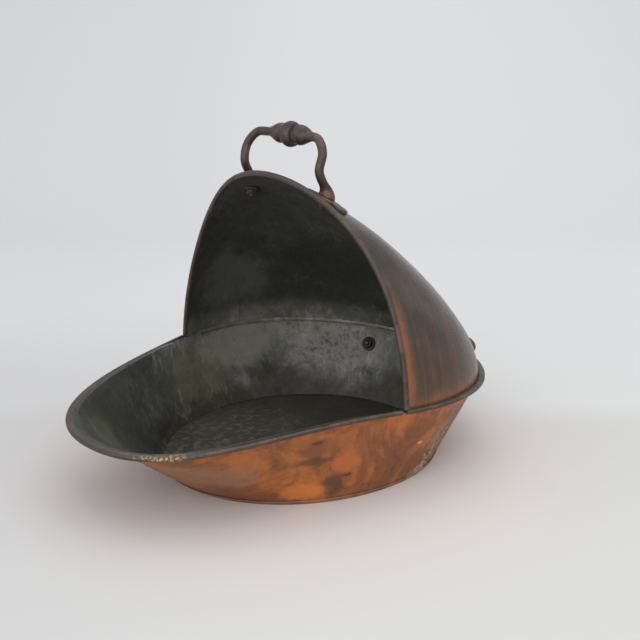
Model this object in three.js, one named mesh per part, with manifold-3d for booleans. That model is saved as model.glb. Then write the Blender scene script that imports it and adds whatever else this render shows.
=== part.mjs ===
// Helmet coal scuttle: a boat-shaped copper body, a copper hood folded onto its rear rim,
// wired edges round the lip and the hood's arch, and two cast loop handles on bolted plates.
// Millimetres, +Z up. The pouring lip points to -Y and the rear handle to +Y.
import * as THREE from "three";
import { mergeVertices } from "three/addons/utils/BufferGeometryUtils.js";
import Module from "manifold-3d";

const wasm = await Module();
wasm.setup();

// ---------------------------------------------------------------- driving sizes
const SHEET = 1; // copper sheet of the body, the hood and the base pan
const GAP = 0.3; // clearance between pieces that touch

// Plan of the wall's top edge, measured from the hood's feet (y = 0)
const FOOT_HALF_WIDTH = 175; // half the width at the hood's feet
const LIP_REACH = 246; // forward to the tip of the lip
const LIP_TAPER = 54; // how far the front sides lean in over their length
const LIP_SIDE = 140; // length of the nearly straight front sides
const LIP_NOSE = 111; // half-width of the lip's round nose
const REAR_REACH = 223; // back to the rear of the rim
const REAR_SWELL = 44; // how far the sides swell out behind the feet
const REAR_SIDE = 138; // length of the rear sides
const REAR_NOSE = 109; // half-width of the round rear

// Height of the rim's middle line
const RIM_HEIGHT = 96; // at the hood's feet
const LIP_DROP = 13; // the lip's tip lies lower by this
const LIP_CREST = 9; // the front sides rise this much before they drop
const REAR_DROP = 6.5; // the rear of the rim lies lower by this

// Flat base
const BASE_HALF_WIDTH = 149;
const BASE_FRONT = 169; // from the base's middle line forward
const BASE_REAR = 154; // from the base's middle line back
const BASE_MIDDLE_Y = 31; // its widest line lies this far behind the hood's feet
const PAN_EDGE = 4; // height of the base pan's turned-up edge

// Rim band: the sheet turned out of the wall, wired in front and folded behind
const BAND_FOOT = 6; // width at the hood's feet
const BAND_LIP = 11.5; // width at the tip of the lip
const BAND_REAR = 7.5; // width at the rear
const LIP_BEAD = 2.6; // outer radius of the rolled edge round the lip
const SHOULDER_FALL = 1; // the lip's band falls inwards by this
const FOLD_CLEARANCE = 1; // between the folded edge and the hood's wall
const ROLL_START = 5; // the lip's rolled edge starts this far ahead of the hood's feet
const BAND_BLEND = 60; // the band turns from level to sloping over this length

// Hood
const ARCH_HEIGHT = 220; // from the rim to the top of the arch
const ARCH_TUCK = 6; // the arch's sides lean in by this
const ARCH_SIDE = 117; // height of the arch's nearly straight sides
const ARCH_CROWN = 98; // half-width of the arch's round crown
const ARCH_BOW = 6; // the arch's sides bow backwards by this
const ARCH_NOD = 31; // and its crown nods forwards by this
const RIDGE_LENGTH = 119; // length of the ridge's gently falling front
const RIDGE_FALL = 37; // fall of the ridge over that length
const HOOD_BEAD = 2.75; // outer radius of the rolled edge round the arch
const FLANGE_ROOT = 0.8; // the hood's flange starts this deep in its sheet

// Solder run inside the folded seam
const SOLDER_WIDTH = 1.8;
const SOLDER_ABOVE = 2.6;
const SOLDER_BELOW = 1.6;
const SOLDER_EDGE = 0.5; // thickness where it feathers out

// Handles, their plates and fixings
const HANDLE_FOOT = 57; // half the distance between a handle's feet
const HANDLE_RISE = 60.5; // from the feet to the middle of the grip
const ARM_RADIUS = 4.7;
const FOOT_RADIUS = 9;
const FOOT_FLARE = 15; // height of the flare above the foot
const FOOT_MARGIN = 6; // the surface is trimmed this far round the foot
const GRIP_HALF = 34; // half the length of the turned grip
const GRIP_RADIUS = 10.7; // of the two swells beside the collar
const SWELL_OFFSET = 14; // from the collar's middle to the top of a swell
const COLLAR_RADIUS = 13.7;
const COLLAR_HALF = 6.5;
const COLLAR_CROWN = 0.2; // share by which the collar's edges are lower than its middle
const COLLAR_NECK = 0.75; // how full the grip still is where it meets the collar
const COLLAR_SHIFT = 5; // the top handle's collar sits this far off the middle
const TOP_ARM_BOW = 10.5; // the top handle's arms bow forwards by this
const REAR_ARM_SPREAD = 13; // the rear handle's arms spread by this
const REAR_HANDLE_TILT = THREE.MathUtils.degToRad(15); // upwards from level
const TOP_FOOT_Y = 8; // the top handle stands this far behind the hood's feet
const REAR_FOOT_Z = 66; // height of the rear handle's feet
const PLATE_THICKNESS = 3;
const PLATE_HEART = 13; // radius of the plate's middle lobe
const PLATE_LOBE = 8; // radius of its end lobes
const PLATE_REACH = 25.5; // from its middle to its tips
const PLATE_TIP = 2; // half-width of the blunt tips
const STUD_RADIUS = 3;
const STUD_CLEARANCE = 0.35;
const WASHER_RADIUS = 9;
const WASHER_THICKNESS = 1.5;
const NUT_FLATS = 11; // across the flats
const NUT_THICKNESS = 5;
const STUD_PAST_NUT = 2;
const FACET_ALLOWANCE = 0.4; // flat facets cut into the curved sheet by up to this

// Facets
const FRONT_STEPS = 20; // per side, round the lip
const REAR_STEPS = 18; // per side, round the rear
const HOOD_COLUMNS = 32;
const HOOD_ROWS = 16;
const HOOD_END = 0.95; // the hood's sheet ends just short of the rim's rearmost point
const BEAD_STEPS = 5;
const WIRE_SIDES = 6;
const ROLL_OVERLAP = 10; // degrees by which a rolled edge runs back into its sheet
const ARCH_STEPS = 44;
const PLATE_STATIONS = 16;
const CASTING_RINGS = 38;
const CASTING_SIDES = 12;

// ---------------------------------------------------------------- curves
const v2 = (x, y) => new THREE.Vector2(x, y);
const v3 = (x, y, z) => new THREE.Vector3(x, y, z);

const LIP_PLAN = new THREE.CubicBezierCurve(
  v2(FOOT_HALF_WIDTH, 0),
  v2(FOOT_HALF_WIDTH - LIP_TAPER, LIP_SIDE),
  v2(LIP_NOSE, LIP_REACH),
  v2(0, LIP_REACH),
);
const REAR_PLAN = new THREE.CubicBezierCurve(
  v2(FOOT_HALF_WIDTH, 0),
  v2(FOOT_HALF_WIDTH + REAR_SWELL, REAR_SIDE),
  v2(REAR_NOSE, REAR_REACH),
  v2(0, REAR_REACH),
);
const ARCH = new THREE.CubicBezierCurve(
  v2(FOOT_HALF_WIDTH, 0),
  v2(FOOT_HALF_WIDTH - ARCH_TUCK, ARCH_SIDE),
  v2(ARCH_CROWN, ARCH_HEIGHT),
  v2(0, ARCH_HEIGHT),
);
const RIDGE_REACH = REAR_REACH + ARCH_NOD - ARCH_BOW;
const RIDGE = new THREE.CubicBezierCurve(
  v2(0, ARCH_HEIGHT),
  v2(RIDGE_LENGTH, ARCH_HEIGHT - RIDGE_FALL),
  v2(RIDGE_REACH, 0),
  v2(RIDGE_REACH, 0),
);

// Smooth step from 0 to 1.
const smooth = (x) => THREE.MathUtils.smoothstep(x, 0, 1);

// The value where a rising function reaches the target, found by halving.
function solve(rising, target, low, high) {
  let [a, b] = [low, high];
  for (let i = 0; i < 40; i += 1) {
    const middle = (a + b) / 2;
    if (rising(middle) < target) a = middle;
    else b = middle;
  }
  return (a + b) / 2;
}

// Height of the ridge above the rim, u running from the arch (0) to the rear (1).
function ridgeHeight(u) {
  const t = solve((s) => RIDGE.getPoint(s).x, u * RIDGE_REACH, 0, 1);
  return RIDGE.getPoint(t).y;
}

// Height of the rim's middle line at a wall point y.
function rimHeight(y) {
  if (y >= 0) return RIM_HEIGHT - (REAR_DROP * y) / REAR_REACH;
  const a = -y / LIP_REACH;
  return RIM_HEIGHT - LIP_DROP * a * a + LIP_CREST * a * (1 - a);
}

// The folded seam has three layers of sheet with two clearances between them.
const SEAM_HEIGHT = 3 * SHEET + 2 * GAP;
const SEAM_LAYER = SHEET + GAP;

// ---------------------------------------------------------------- solids
// A closed geometry as a solid whose faces point out.
function solid(geometry) {
  const bare = geometry.clone();
  bare.deleteAttribute("normal");
  bare.deleteAttribute("uv");
  const merged = mergeVertices(bare, 1e-4);
  const faces = [];
  const index = merged.index.array;
  for (let i = 0; i < index.length; i += 3) {
    const [a, b, c] = [index[i], index[i + 1], index[i + 2]];
    if (a !== b && b !== c && c !== a) faces.push([a, b, c]);
  }
  const build = (triangles) =>
    new wasm.Manifold(
      new wasm.Mesh({
        numProp: 3,
        vertProperties: merged.attributes.position.array,
        triVerts: Uint32Array.from(triangles.flat()),
      }),
    );
  const made = build(faces);
  return made.volume() >= 0 ? made : build(faces.map(([a, b, c]) => [a, c, b]));
}

// A solid as a three.js geometry.
function geometryOf(body) {
  const { vertProperties, triVerts } = body.getMesh();
  const geometry = new THREE.BufferGeometry();
  geometry.setAttribute("position", new THREE.BufferAttribute(vertProperties, 3));
  geometry.setIndex(new THREE.BufferAttribute(triVerts, 1));
  geometry.computeVertexNormals();
  return geometry;
}

// Triangles that close a ring of points, in the ring's own winding.
function capFaces(ring) {
  const normal = v3(0, 0, 0);
  ring.forEach((p, i) => normal.add(p.clone().cross(ring[(i + 1) % ring.length])));
  if (normal.length() < 1e-3) return [];
  normal.normalize();
  const side = Math.abs(normal.x) < 0.8 ? v3(1, 0, 0) : v3(0, 1, 0);
  const u = side.sub(normal.clone().multiplyScalar(side.dot(normal))).normalize();
  const v = normal.clone().cross(u);
  const flat = ring.map((p) => v2(p.dot(u), p.dot(v)));
  return THREE.ShapeUtils.triangulateShape(flat, []).map(([a, b, c]) => {
    const turn = flat[b].clone().sub(flat[a]).cross(flat[c].clone().sub(flat[a]));
    return turn > 0 ? [a, b, c] : [a, c, b];
  });
}

// Lofts rings of equally many points; a loop joins the last ring to the first.
// Each quad is split along its shorter diagonal, so both faces of a sheet split alike.
function loft(rings, isLoop = false) {
  const count = rings[0].length;
  const points = rings.flat();
  const index = [];
  const bands = isLoop ? rings.length : rings.length - 1;
  for (let i = 0; i < bands; i += 1) {
    for (let j = 0; j < count; j += 1) {
      const k = (j + 1) % count;
      const next = ((i + 1) % rings.length) * count;
      const [a, b, c, d] = [i * count + j, next + j, next + k, i * count + k];
      const rising = points[a].distanceTo(points[c]) < points[b].distanceTo(points[d]);
      index.push(...(rising ? [a, b, c, a, c, d] : [a, b, d, b, c, d]));
    }
  }
  if (!isLoop) {
    const last = (rings.length - 1) * count;
    capFaces(rings[0]).forEach(([a, b, c]) => index.push(a, b, c));
    capFaces(rings.at(-1)).forEach(([a, b, c]) => index.push(last + a, last + c, last + b));
  }
  const geometry = new THREE.BufferGeometry().setFromPoints(points);
  geometry.setIndex(index);
  return solid(geometry);
}

// A round bar along a frame (origin, direction), from one distance to another.
function rod({ origin, direction }, radius, from, to, sides = 20) {
  const shape = new THREE.CylinderGeometry(radius, radius, to - from, sides);
  shape.translate(0, (from + to) / 2, 0);
  const turn = new THREE.Quaternion().setFromUnitVectors(v3(0, 1, 0), direction);
  shape.applyQuaternion(turn);
  shape.translate(origin.x, origin.y, origin.z);
  return solid(shape);
}

// ---------------------------------------------------------------- wall stations
// The point of the base outline straight inwards from a point of the rim, and its normal.
function baseBelow(point) {
  const middle = v2(0, BASE_MIDDLE_Y);
  const arm = point.clone().sub(middle);
  const axes = v2(BASE_HALF_WIDTH, arm.y < 0 ? BASE_FRONT : BASE_REAR);
  const reach = arm.divideScalar(arm.clone().divide(axes).length());
  const normal = reach.clone().divide(axes).divide(axes).normalize();
  return { base: reach.add(middle), baseNormal: normal };
}

// A station on the wall's top edge: its place, outward normal, rim band and wall slope.
function station(isFront, side, t) {
  const plan = isFront ? LIP_PLAN : REAR_PLAN;
  const point = plan.getPoint(t);
  const tangent = plan.getTangent(t);
  const way = isFront ? -1 : 1;
  const normal = v2(side * tangent.y, -way * tangent.x);
  const [x, y] = [side * point.x, way * point.y];
  const share = smooth(point.y / (isFront ? LIP_REACH : REAR_REACH));
  const band = THREE.MathUtils.lerp(BAND_FOOT, isFront ? BAND_LIP : BAND_REAR, share);
  const middle = rimHeight(y);
  const seamTop = middle - SEAM_HEIGHT / 2;
  const lipTop = middle + LIP_BEAD - SHEET - SHOULDER_FALL;
  const near = isFront ? smooth(point.y / BAND_BLEND) : 0;
  const top = THREE.MathUtils.lerp(seamTop, lipTop, near);
  const rim = v2(x, y);
  const { base, baseNormal } = baseBelow(rim);
  const run = rim.clone().sub(base);
  const out = run.dot(normal) / Math.hypot(run.dot(normal), top);
  const up = Math.sqrt(1 - out * out);
  return { isFront, x, y, normal, band, middle, top, base, baseNormal, run, out, up };
}

// A point of a station's section: n outwards from the wall's top edge, z the height.
const at = (s, n, z) => v3(s.x + s.normal.x * n, s.y + s.normal.y * n, z);

// The wall's outer face at height z, moved off it by a distance.
function onWall(s, z, off = 0) {
  const share = z / s.top;
  const level = s.baseNormal.clone().lerp(s.normal, share).normalize();
  const lean = Math.atan2(s.run.dot(level), s.top);
  const place = s.base.clone().addScaledVector(s.run, share);
  place.addScaledVector(level, off / Math.cos(lean));
  const normal = v3(level.x * Math.cos(lean), level.y * Math.cos(lean), -Math.sin(lean));
  return { point: v3(place.x, place.y, z), normal };
}

const steps = (count) => Array.from({ length: count + 1 }, (_, i) => i / count);
const REAR_STATIONS = [
  ...steps(REAR_STEPS).map((t) => station(false, 1, t)),
  ...steps(REAR_STEPS).slice(0, -1).reverse().map((t) => station(false, -1, t)),
];
const ROLL_FROM = solve((t) => LIP_PLAN.getPoint(t).y, ROLL_START, 0, 1);
const FRONT_PLACES = steps(FRONT_STEPS).map((t) => ROLL_FROM + (1 - ROLL_FROM) * t);
const FRONT_STATIONS = [
  ...FRONT_PLACES.map((t) => station(true, -1, t)),
  ...FRONT_PLACES.slice(0, -1).reverse().map((t) => station(true, 1, t)),
];
const ALL_STATIONS = [...REAR_STATIONS, ...FRONT_STATIONS];

// ---------------------------------------------------------------- rolled edges
// A C-shaped section of sheet rolled round a wire: angles in degrees, radius outside.
function rolled(radius, from, to) {
  const arc = (r, a, b) =>
    steps(BEAD_STEPS).map((s) => {
      const angle = THREE.MathUtils.degToRad(a + (b - a) * s);
      return v2(r * Math.cos(angle), r * Math.sin(angle));
    });
  return [...arc(radius, from, to), ...arc(radius - SHEET, to, from)];
}

// A round section.
const round = (radius, sides) =>
  steps(sides).slice(0, -1).map((s) => {
    const angle = 2 * Math.PI * s;
    return v2(radius * Math.cos(angle), radius * Math.sin(angle));
  });

// Sections placed on the lip's bead line, one for each station.
const onLipBead = (sectionOf) =>
  FRONT_STATIONS.map((s) =>
    sectionOf(s).map((p) => at(s, s.band - LIP_BEAD + p.x, s.middle + p.y)),
  );

// ---------------------------------------------------------------- body
// Slope of the rim band: level behind, and in front the tangent from the wall to the bead.
function bandSlope(s) {
  if (!s.isFront) return 0;
  const [n, z] = [s.band - LIP_BEAD, s.middle - s.top];
  return Math.atan2(z, n) + Math.asin((LIP_BEAD - SHEET) / Math.hypot(n, z));
}

// Section of the wall with the band that turns out of its top.
function wallSection(s) {
  const foot = SHEET + GAP;
  const slope = bandSlope(s);
  const across = v2(Math.cos(slope), Math.sin(slope));
  const above = v2(-across.y, across.x);
  const within = v2(-s.up, s.out);
  const corner = within.clone().add(above).multiplyScalar(SHEET / (1 + within.dot(above)));
  const end = s.isFront
    ? v2(s.band - LIP_BEAD, s.middle - s.top).addScaledVector(above, LIP_BEAD - SHEET)
    : v2(s.band, 0);
  return [
    onWall(s, foot).point,
    onWall(s, PAN_EDGE).point,
    at(s, 0, s.top),
    at(s, end.x, s.top + end.y),
    at(s, end.x + above.x * SHEET, s.top + end.y + above.y * SHEET),
    at(s, corner.x, s.top + corner.y),
    onWall(s, foot, -SHEET).point,
  ];
}

// Section of the band's outer edge, folded up and back over the hood's flange.
function foldSection(s) {
  const low = s.top + SHEET / 2;
  const under = s.top + 2 * SEAM_LAYER;
  const over = s.top + SEAM_HEIGHT;
  const inner = FOLD_CLEARANCE;
  return [
    at(s, s.band - SHEET, low),
    at(s, s.band, low),
    at(s, s.band, over - SHEET / 2),
    at(s, s.band - SHEET / 2, over),
    at(s, inner, over),
    at(s, inner, under),
    at(s, s.band - SHEET, under),
  ];
}

// The band rolled down round the lip's wire, from where it touches the bead.
function lipRoll(s) {
  const start = 90 + THREE.MathUtils.radToDeg(bandSlope(s));
  return rolled(LIP_BEAD, start + ROLL_OVERLAP, -150);
}

function bodyShell() {
  return loft(ALL_STATIONS.map(wallSection), true)
    .add(loft(REAR_STATIONS.map(foldSection)))
    .add(loft(onLipBead(lipRoll)))
    .subtract(studHoles(REAR_FIXINGS));
}

const lipWire = () => loft(onLipBead(() => round(LIP_BEAD - SHEET - GAP, WIRE_SIDES)));

// Shallow pan whose turned-up edge clasps the wall's lower edge.
function basePan() {
  const ring = (z, off) => ALL_STATIONS.map((s) => onWall(s, z, off).point);
  const outside = loft([ring(0, GAP + SHEET), ring(PAN_EDGE, GAP + SHEET)]);
  const hollow = loft([ring(SHEET, GAP), ring(PAN_EDGE + SHEET, GAP)]);
  return outside.subtract(hollow);
}

// ---------------------------------------------------------------- hood
// Backward shift of the arch at a share of its height.
const archLean = (rise) => ARCH_BOW * rise - ARCH_NOD * rise ** 4;

// Outer surface of the hood: t from the arch to the rear, v from the right foot to the left.
function hoodPoint(t, v) {
  const arch = ARCH.getPoint(v <= 0.5 ? 2 * v : 2 - 2 * v);
  const plan = REAR_PLAN.getPoint(t);
  const u = plan.y / REAR_REACH;
  const rise = arch.y / ARCH_HEIGHT;
  return v3(
    (Math.sign(0.5 - v) * arch.x * plan.x) / FOOT_HALF_WIDTH,
    plan.y + (1 - u) * archLean(rise),
    rimHeight(plan.y) + rise * ridgeHeight(u),
  );
}

// Outward normal of the hood's surface.
function hoodNormal(t, v) {
  const d = 1e-3;
  const [t0, t1] = [Math.max(t - d, 0), Math.min(t + d, 0.99)];
  const [v0, v1] = [Math.max(v - d, 0), Math.min(v + d, 1)];
  const along = hoodPoint(t1, v).sub(hoodPoint(Math.min(t0, t1 - d), v));
  const across = hoodPoint(Math.min(t, 0.99), v1).sub(hoodPoint(Math.min(t, 0.99), v0));
  return across.cross(along).negate().normalize();
}

// Solid under the hood's surface moved inwards, carried below the rim and past the arch.
function hoodVolume(inwards, ahead, below) {
  const row = (t, shift) => {
    const points = steps(HOOD_COLUMNS).map((v) =>
      hoodPoint(t, v).addScaledVector(hoodNormal(t, v), -inwards).add(v3(0, -shift, 0)),
    );
    const drop = v3(0, 0, -below);
    return [points[0].clone().add(drop), ...points, points.at(-1).clone().add(drop)];
  };
  const rows = steps(HOOD_ROWS).map((t) => row(t * HOOD_END, 0));
  return loft(ahead ? [row(0, ahead), ...rows] : rows);
}

// Everything below the seam's top layer or below another height over the seam.
function belowSeam(height) {
  const reach = 2 * REAR_REACH;
  const outline = steps(8).map((s) => {
    const y = REAR_REACH * s;
    return v2(y, rimHeight(y) - SEAM_HEIGHT / 2 + height);
  });
  const shape = new THREE.Shape([
    v2(-reach, -reach),
    v2(-reach, outline[0].y),
    ...outline,
    v2(reach, outline.at(-1).y),
    v2(reach, -reach),
  ]);
  const slab = new THREE.ExtrudeGeometry(shape, { depth: 2 * reach, bevelEnabled: false });
  slab.translate(0, 0, -reach);
  const turn = new THREE.Matrix4().makeBasis(v3(0, 1, 0), v3(0, 0, 1), v3(1, 0, 0));
  return solid(slab.applyMatrix4(turn));
}

// Section of the hood's flange, held inside the folded edge.
function flangeSection(s) {
  const low = s.top + SEAM_LAYER;
  const reach = s.band - SEAM_LAYER;
  return [
    at(s, -FLANGE_ROOT, low),
    at(s, reach, low),
    at(s, reach, low + SHEET),
    at(s, -FLANGE_ROOT, low + SHEET),
  ];
}

// Sections placed on the arch's bead line: p.x backwards, p.y outwards.
function onArchBead(section) {
  return steps(ARCH_STEPS).map((v) => {
    const edge = hoodPoint(0, v);
    const tangent = hoodPoint(0, Math.min(v + 1e-3, 1)).sub(hoodPoint(0, Math.max(v - 1e-3, 0)));
    const outwards = v3(tangent.z, 0, -tangent.x).normalize();
    if (outwards.dot(v3(edge.x, 0, edge.z)) < 0) outwards.negate();
    return section.map((p) =>
      edge
        .clone()
        .addScaledVector(outwards, HOOD_BEAD - SHEET + p.y)
        .add(v3(0, p.x, 0)),
    );
  });
}

const HOOD_ROLL = rolled(HOOD_BEAD, -80, -350);
const BEAD_FOOT = SEAM_HEIGHT / 2 + LIP_BEAD + GAP; // the bead stands on the rim band

function hoodShell() {
  const inner = hoodVolume(SHEET, 4 * HOOD_BEAD, 20);
  const sheet = hoodVolume(0, 0, 10).subtract(inner).subtract(belowSeam(SEAM_LAYER));
  const roll = loft(onArchBead(HOOD_ROLL)).subtract(belowSeam(BEAD_FOOT));
  return sheet
    .add(loft(REAR_STATIONS.map(flangeSection)))
    .add(roll)
    .subtract(studHoles(TOP_FIXINGS));
}

const hoodWire = () =>
  loft(onArchBead(round(HOOD_BEAD - SHEET - GAP, WIRE_SIDES))).subtract(belowSeam(BEAD_FOOT));

// The hood's point and normal above a place of the plan.
function hoodAt(x, y) {
  const v = (t) => {
    const share = (FOOT_HALF_WIDTH * Math.abs(x)) / Math.max(REAR_PLAN.getPoint(t).x, 1e-6);
    const half = solve((s) => -ARCH.getPoint(s).x, -share, 0, 1) / 2;
    return x >= 0 ? half : 1 - half;
  };
  const t = solve((s) => hoodPoint(s, v(s)).y, y, 0, 1);
  return { point: hoodPoint(t, v(t)), normal: hoodNormal(t, v(t)) };
}

// ---------------------------------------------------------------- solder
// How far the hood leans in from the wall line at a height over the rim.
function hoodLean(s, height) {
  const rim = rimHeight(s.y);
  if (Math.abs(s.y) < 1) return 0;
  return solve(
    (inset) => {
      const place = at(s, -inset, 0);
      return hoodAt(place.x, place.y).point.z - rim;
    },
    height,
    0.01,
    3 * height,
  );
}

function seamSolder() {
  const top = SHEET + SOLDER_ABOVE;
  const sections = REAR_STATIONS.slice(1, -1).map((s) => {
    const off = SHEET + GAP;
    const lean = Math.min(hoodLean(s, top), 2 * top);
    return [
      onWall(s, s.top - SOLDER_BELOW, -off).point,
      onWall(s, s.top - SOLDER_BELOW, -off - SOLDER_EDGE).point,
      at(s, -off - lean - SOLDER_WIDTH, s.top + SHEET),
      at(s, -off * 1.25 - lean - SOLDER_EDGE, s.top + top),
      at(s, -off * 1.25 - lean, s.top + top),
      at(s, -off * 1.25 - lean / 3, s.top + SHEET),
    ];
  });
  return loft(sections);
}

// ---------------------------------------------------------------- handles
// The rear wall's point and normal at a place seen from behind.
function rearWallAt(x, z) {
  const side = x < 0 ? -1 : 1;
  const place = (t) => onWall(station(false, side, t), z);
  const t = solve((q) => -Math.abs(place(q).point.x), -Math.abs(x), 0.3, 1);
  return place(t);
}

// Where each handle is bolted: the surface it stands on and its feet on that surface.
const onHood = (a, b) => hoodAt(a, TOP_FOOT_Y + b);
const onRearWall = (a, b) => rearWallAt(a, REAR_FOOT_Z + b);
const fixing = (surface, side) => ({ surface, side, ...surface(side * HANDLE_FOOT, 0) });
const TOP_FIXINGS = [fixing(onHood, -1), fixing(onHood, 1)];
const REAR_FIXINGS = [fixing(onRearWall, -1), fixing(onRearWall, 1)];

const fixingFrame = ({ point, normal }) => ({ origin: point, direction: normal });

// Bars that cut the stud holes of a pair of fixings.
function studHoles(fixings) {
  const [left, right] = fixings.map((f) =>
    rod(fixingFrame(f), STUD_RADIUS + STUD_CLEARANCE, -15, 15),
  );
  return left.add(right);
}

// A layer over the surface round a fixing, with a half-width for each distance along it.
function layer({ surface, side }, outline, low, high) {
  const rings = outline.map(({ along, half }) => {
    const across = [-half, -half / 2, 0, half / 2, half];
    const lift = (distance) => (b) => {
      const { point, normal } = surface(side * HANDLE_FOOT + along, b);
      return point.clone().addScaledVector(normal, distance);
    };
    return [...across.map(lift(low)), ...across.reverse().map(lift(high))];
  });
  return loft(rings);
}

// The plate's outline, a round lobe between two smaller ones, as half-widths along it.
function plateOutline() {
  const chord = (radius, distance) => Math.sqrt(Math.max(radius ** 2 - distance ** 2, 0));
  return steps(PLATE_STATIONS).map((s) => {
    const along = -PLATE_REACH * Math.cos(Math.PI * s);
    const fromLobe = Math.abs(along) - PLATE_REACH + PLATE_LOBE;
    const half = Math.max(chord(PLATE_HEART, along), chord(PLATE_LOBE, fromLobe), PLATE_TIP);
    return { along, half };
  });
}

function plate(fixed) {
  const hole = rod(fixingFrame(fixed), STUD_RADIUS + STUD_CLEARANCE, -15, 15);
  return layer(fixed, plateOutline(), GAP, GAP + PLATE_THICKNESS).subtract(hole);
}

// Radius of the casting at a share of its rise and a distance along the grip.
function castingRadius(rise, along) {
  const flare = smooth(1 - rise / FOOT_FLARE);
  const arm = ARM_RADIUS + (FOOT_RADIUS - ARM_RADIUS) * flare;
  const reach = Math.abs(along);
  if (rise < HANDLE_RISE / 2 || reach > GRIP_HALF) return arm;
  if (reach <= COLLAR_HALF) {
    return COLLAR_RADIUS * (1 - COLLAR_CROWN * (reach / COLLAR_HALF) ** 2);
  }
  const swell =
    reach < SWELL_OFFSET
      ? COLLAR_NECK + (1 - COLLAR_NECK) * smooth((reach - COLLAR_HALF) / (SWELL_OFFSET - COLLAR_HALF))
      : 1 - smooth((reach - SWELL_OFFSET) / (GRIP_HALF - SWELL_OFFSET));
  return ARM_RADIUS + (GRIP_RADIUS - ARM_RADIUS) * swell;
}

// Centre line of a handle: x along the grip, y away from the feet, z to the side it bows.
function handleCurve(bow, spread) {
  const half = [
    [HANDLE_FOOT, -6, 0],
    [HANDLE_FOOT, 0.12 * HANDLE_RISE, 0.1 * bow],
    [HANDLE_FOOT + 0.5 * spread, 0.46 * HANDLE_RISE, bow],
    [HANDLE_FOOT + spread, 0.76 * HANDLE_RISE, 0.55 * bow],
    [HANDLE_FOOT - 11 + 0.8 * spread, 0.97 * HANDLE_RISE, 0.1 * bow],
    [HANDLE_FOOT - 27, HANDLE_RISE, 0],
    [0, HANDLE_RISE, 0],
  ].map(([x, y, z]) => v3(x, y, z));
  const mirrored = half.slice(0, -1).map((p) => v3(-p.x, p.y, p.z));
  return new THREE.CatmullRomCurve3([...mirrored, ...half.reverse()], false, "centripetal");
}

// The casting in its own frame, as a tube of varying radius.
function casting(bow, spread, collarShift) {
  const curve = handleCurve(bow, spread);
  const places = castingPlaces(curve, collarShift);
  const rings = places.map((u) => {
    const centre = curve.getPoint(u);
    const tangent = curve.getTangent(u);
    const side = v3(0, 0, 1).cross(tangent).normalize();
    const other = tangent.clone().cross(side).normalize();
    const radius = castingRadius(centre.y, centre.x - collarShift);
    return round(radius, CASTING_SIDES).map((p) =>
      centre.clone().addScaledVector(side, p.x).addScaledVector(other, p.y),
    );
  });
  return loft(rings);
}

// Places of the casting's rings, closer over the collar, which has a sharp edge on each side.
function castingPlaces(curve, collarShift) {
  const shares = [-1.04, -0.99, -0.5, 0, 0.5, 0.99, 1.04];
  const collar = shares.map((share) => {
    const x = collarShift + share * COLLAR_HALF;
    return solve((s) => curve.getPoint(s).x, x, 0.3, 0.7);
  });
  const clear = steps(CASTING_RINGS).filter((u) => u < collar[0] - 0.01 || u > collar[6] + 0.01);
  return [...clear, ...collar].sort((a, b) => a - b);
}

// Puts a casting on its fixings: seats it on the plates and gives it its studs.
function handle(shape, frame, fixings) {
  let made = shape.transform(frame.elements);
  const reach = FOOT_RADIUS + FOOT_MARGIN;
  const seat = steps(8).map((s) => ({ along: reach * (2 * s - 1), half: reach }));
  for (const fixed of fixings) {
    made = made.subtract(layer(fixed, seat, -2 * FOOT_FLARE, PLATE_THICKNESS + 2 * GAP));
  }
  for (const fixed of fixings) {
    const past = nutDepth(fixed) + NUT_THICKNESS + STUD_PAST_NUT;
    made = made.add(rod(fixingFrame(fixed), STUD_RADIUS, -past, PLATE_THICKNESS + 2));
  }
  return made;
}

// The frame of a handle: x stays across, `away` leaves the wall, `aside` is the bow's side.
function handleFrame(middle, away, aside) {
  return new THREE.Matrix4().makeBasis(v3(1, 0, 0), away, aside).setPosition(middle);
}

const MIDDLE_LIFT = GAP + PLATE_THICKNESS;

function topHandle() {
  const foot = TOP_FIXINGS[1].point;
  const frame = handleFrame(v3(0, foot.y, foot.z + MIDDLE_LIFT), v3(0, 0, 1), v3(0, -1, 0));
  return handle(casting(TOP_ARM_BOW, 0, COLLAR_SHIFT), frame, TOP_FIXINGS);
}

function rearHandle() {
  const foot = REAR_FIXINGS[1].point;
  const away = v3(0, Math.cos(REAR_HANDLE_TILT), Math.sin(REAR_HANDLE_TILT));
  const aside = v3(1, 0, 0).cross(away);
  const frame = handleFrame(v3(0, foot.y + MIDDLE_LIFT, foot.z), away, aside);
  return handle(casting(0, REAR_ARM_SPREAD, 0), frame, REAR_FIXINGS);
}

// Turns a shape made along +Z to stand along a fixing's inward axis at a depth.
function onStud(geometry, fixed, depth) {
  const inwards = fixed.normal.clone().negate();
  const turn = new THREE.Quaternion().setFromUnitVectors(v3(0, 0, 1), inwards);
  const place = fixed.point.clone().addScaledVector(inwards, depth);
  return solid(geometry.applyQuaternion(turn).translate(place.x, place.y, place.z));
}

// How far a flat washer's middle stands off the hollow side of the curved sheet.
function washerDepth({ point, normal, surface, side }) {
  const depths = steps(12).map((s) => {
    const angle = 2 * Math.PI * s;
    const a = side * HANDLE_FOOT + WASHER_RADIUS * Math.cos(angle);
    const rim = surface(a, WASHER_RADIUS * Math.sin(angle));
    return point.clone().sub(rim.point.addScaledVector(rim.normal, -SHEET)).dot(normal);
  });
  return Math.max(...depths, SHEET) + GAP + FACET_ALLOWANCE;
}

const nutDepth = (fixed) => washerDepth(fixed) + WASHER_THICKNESS + GAP;

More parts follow.
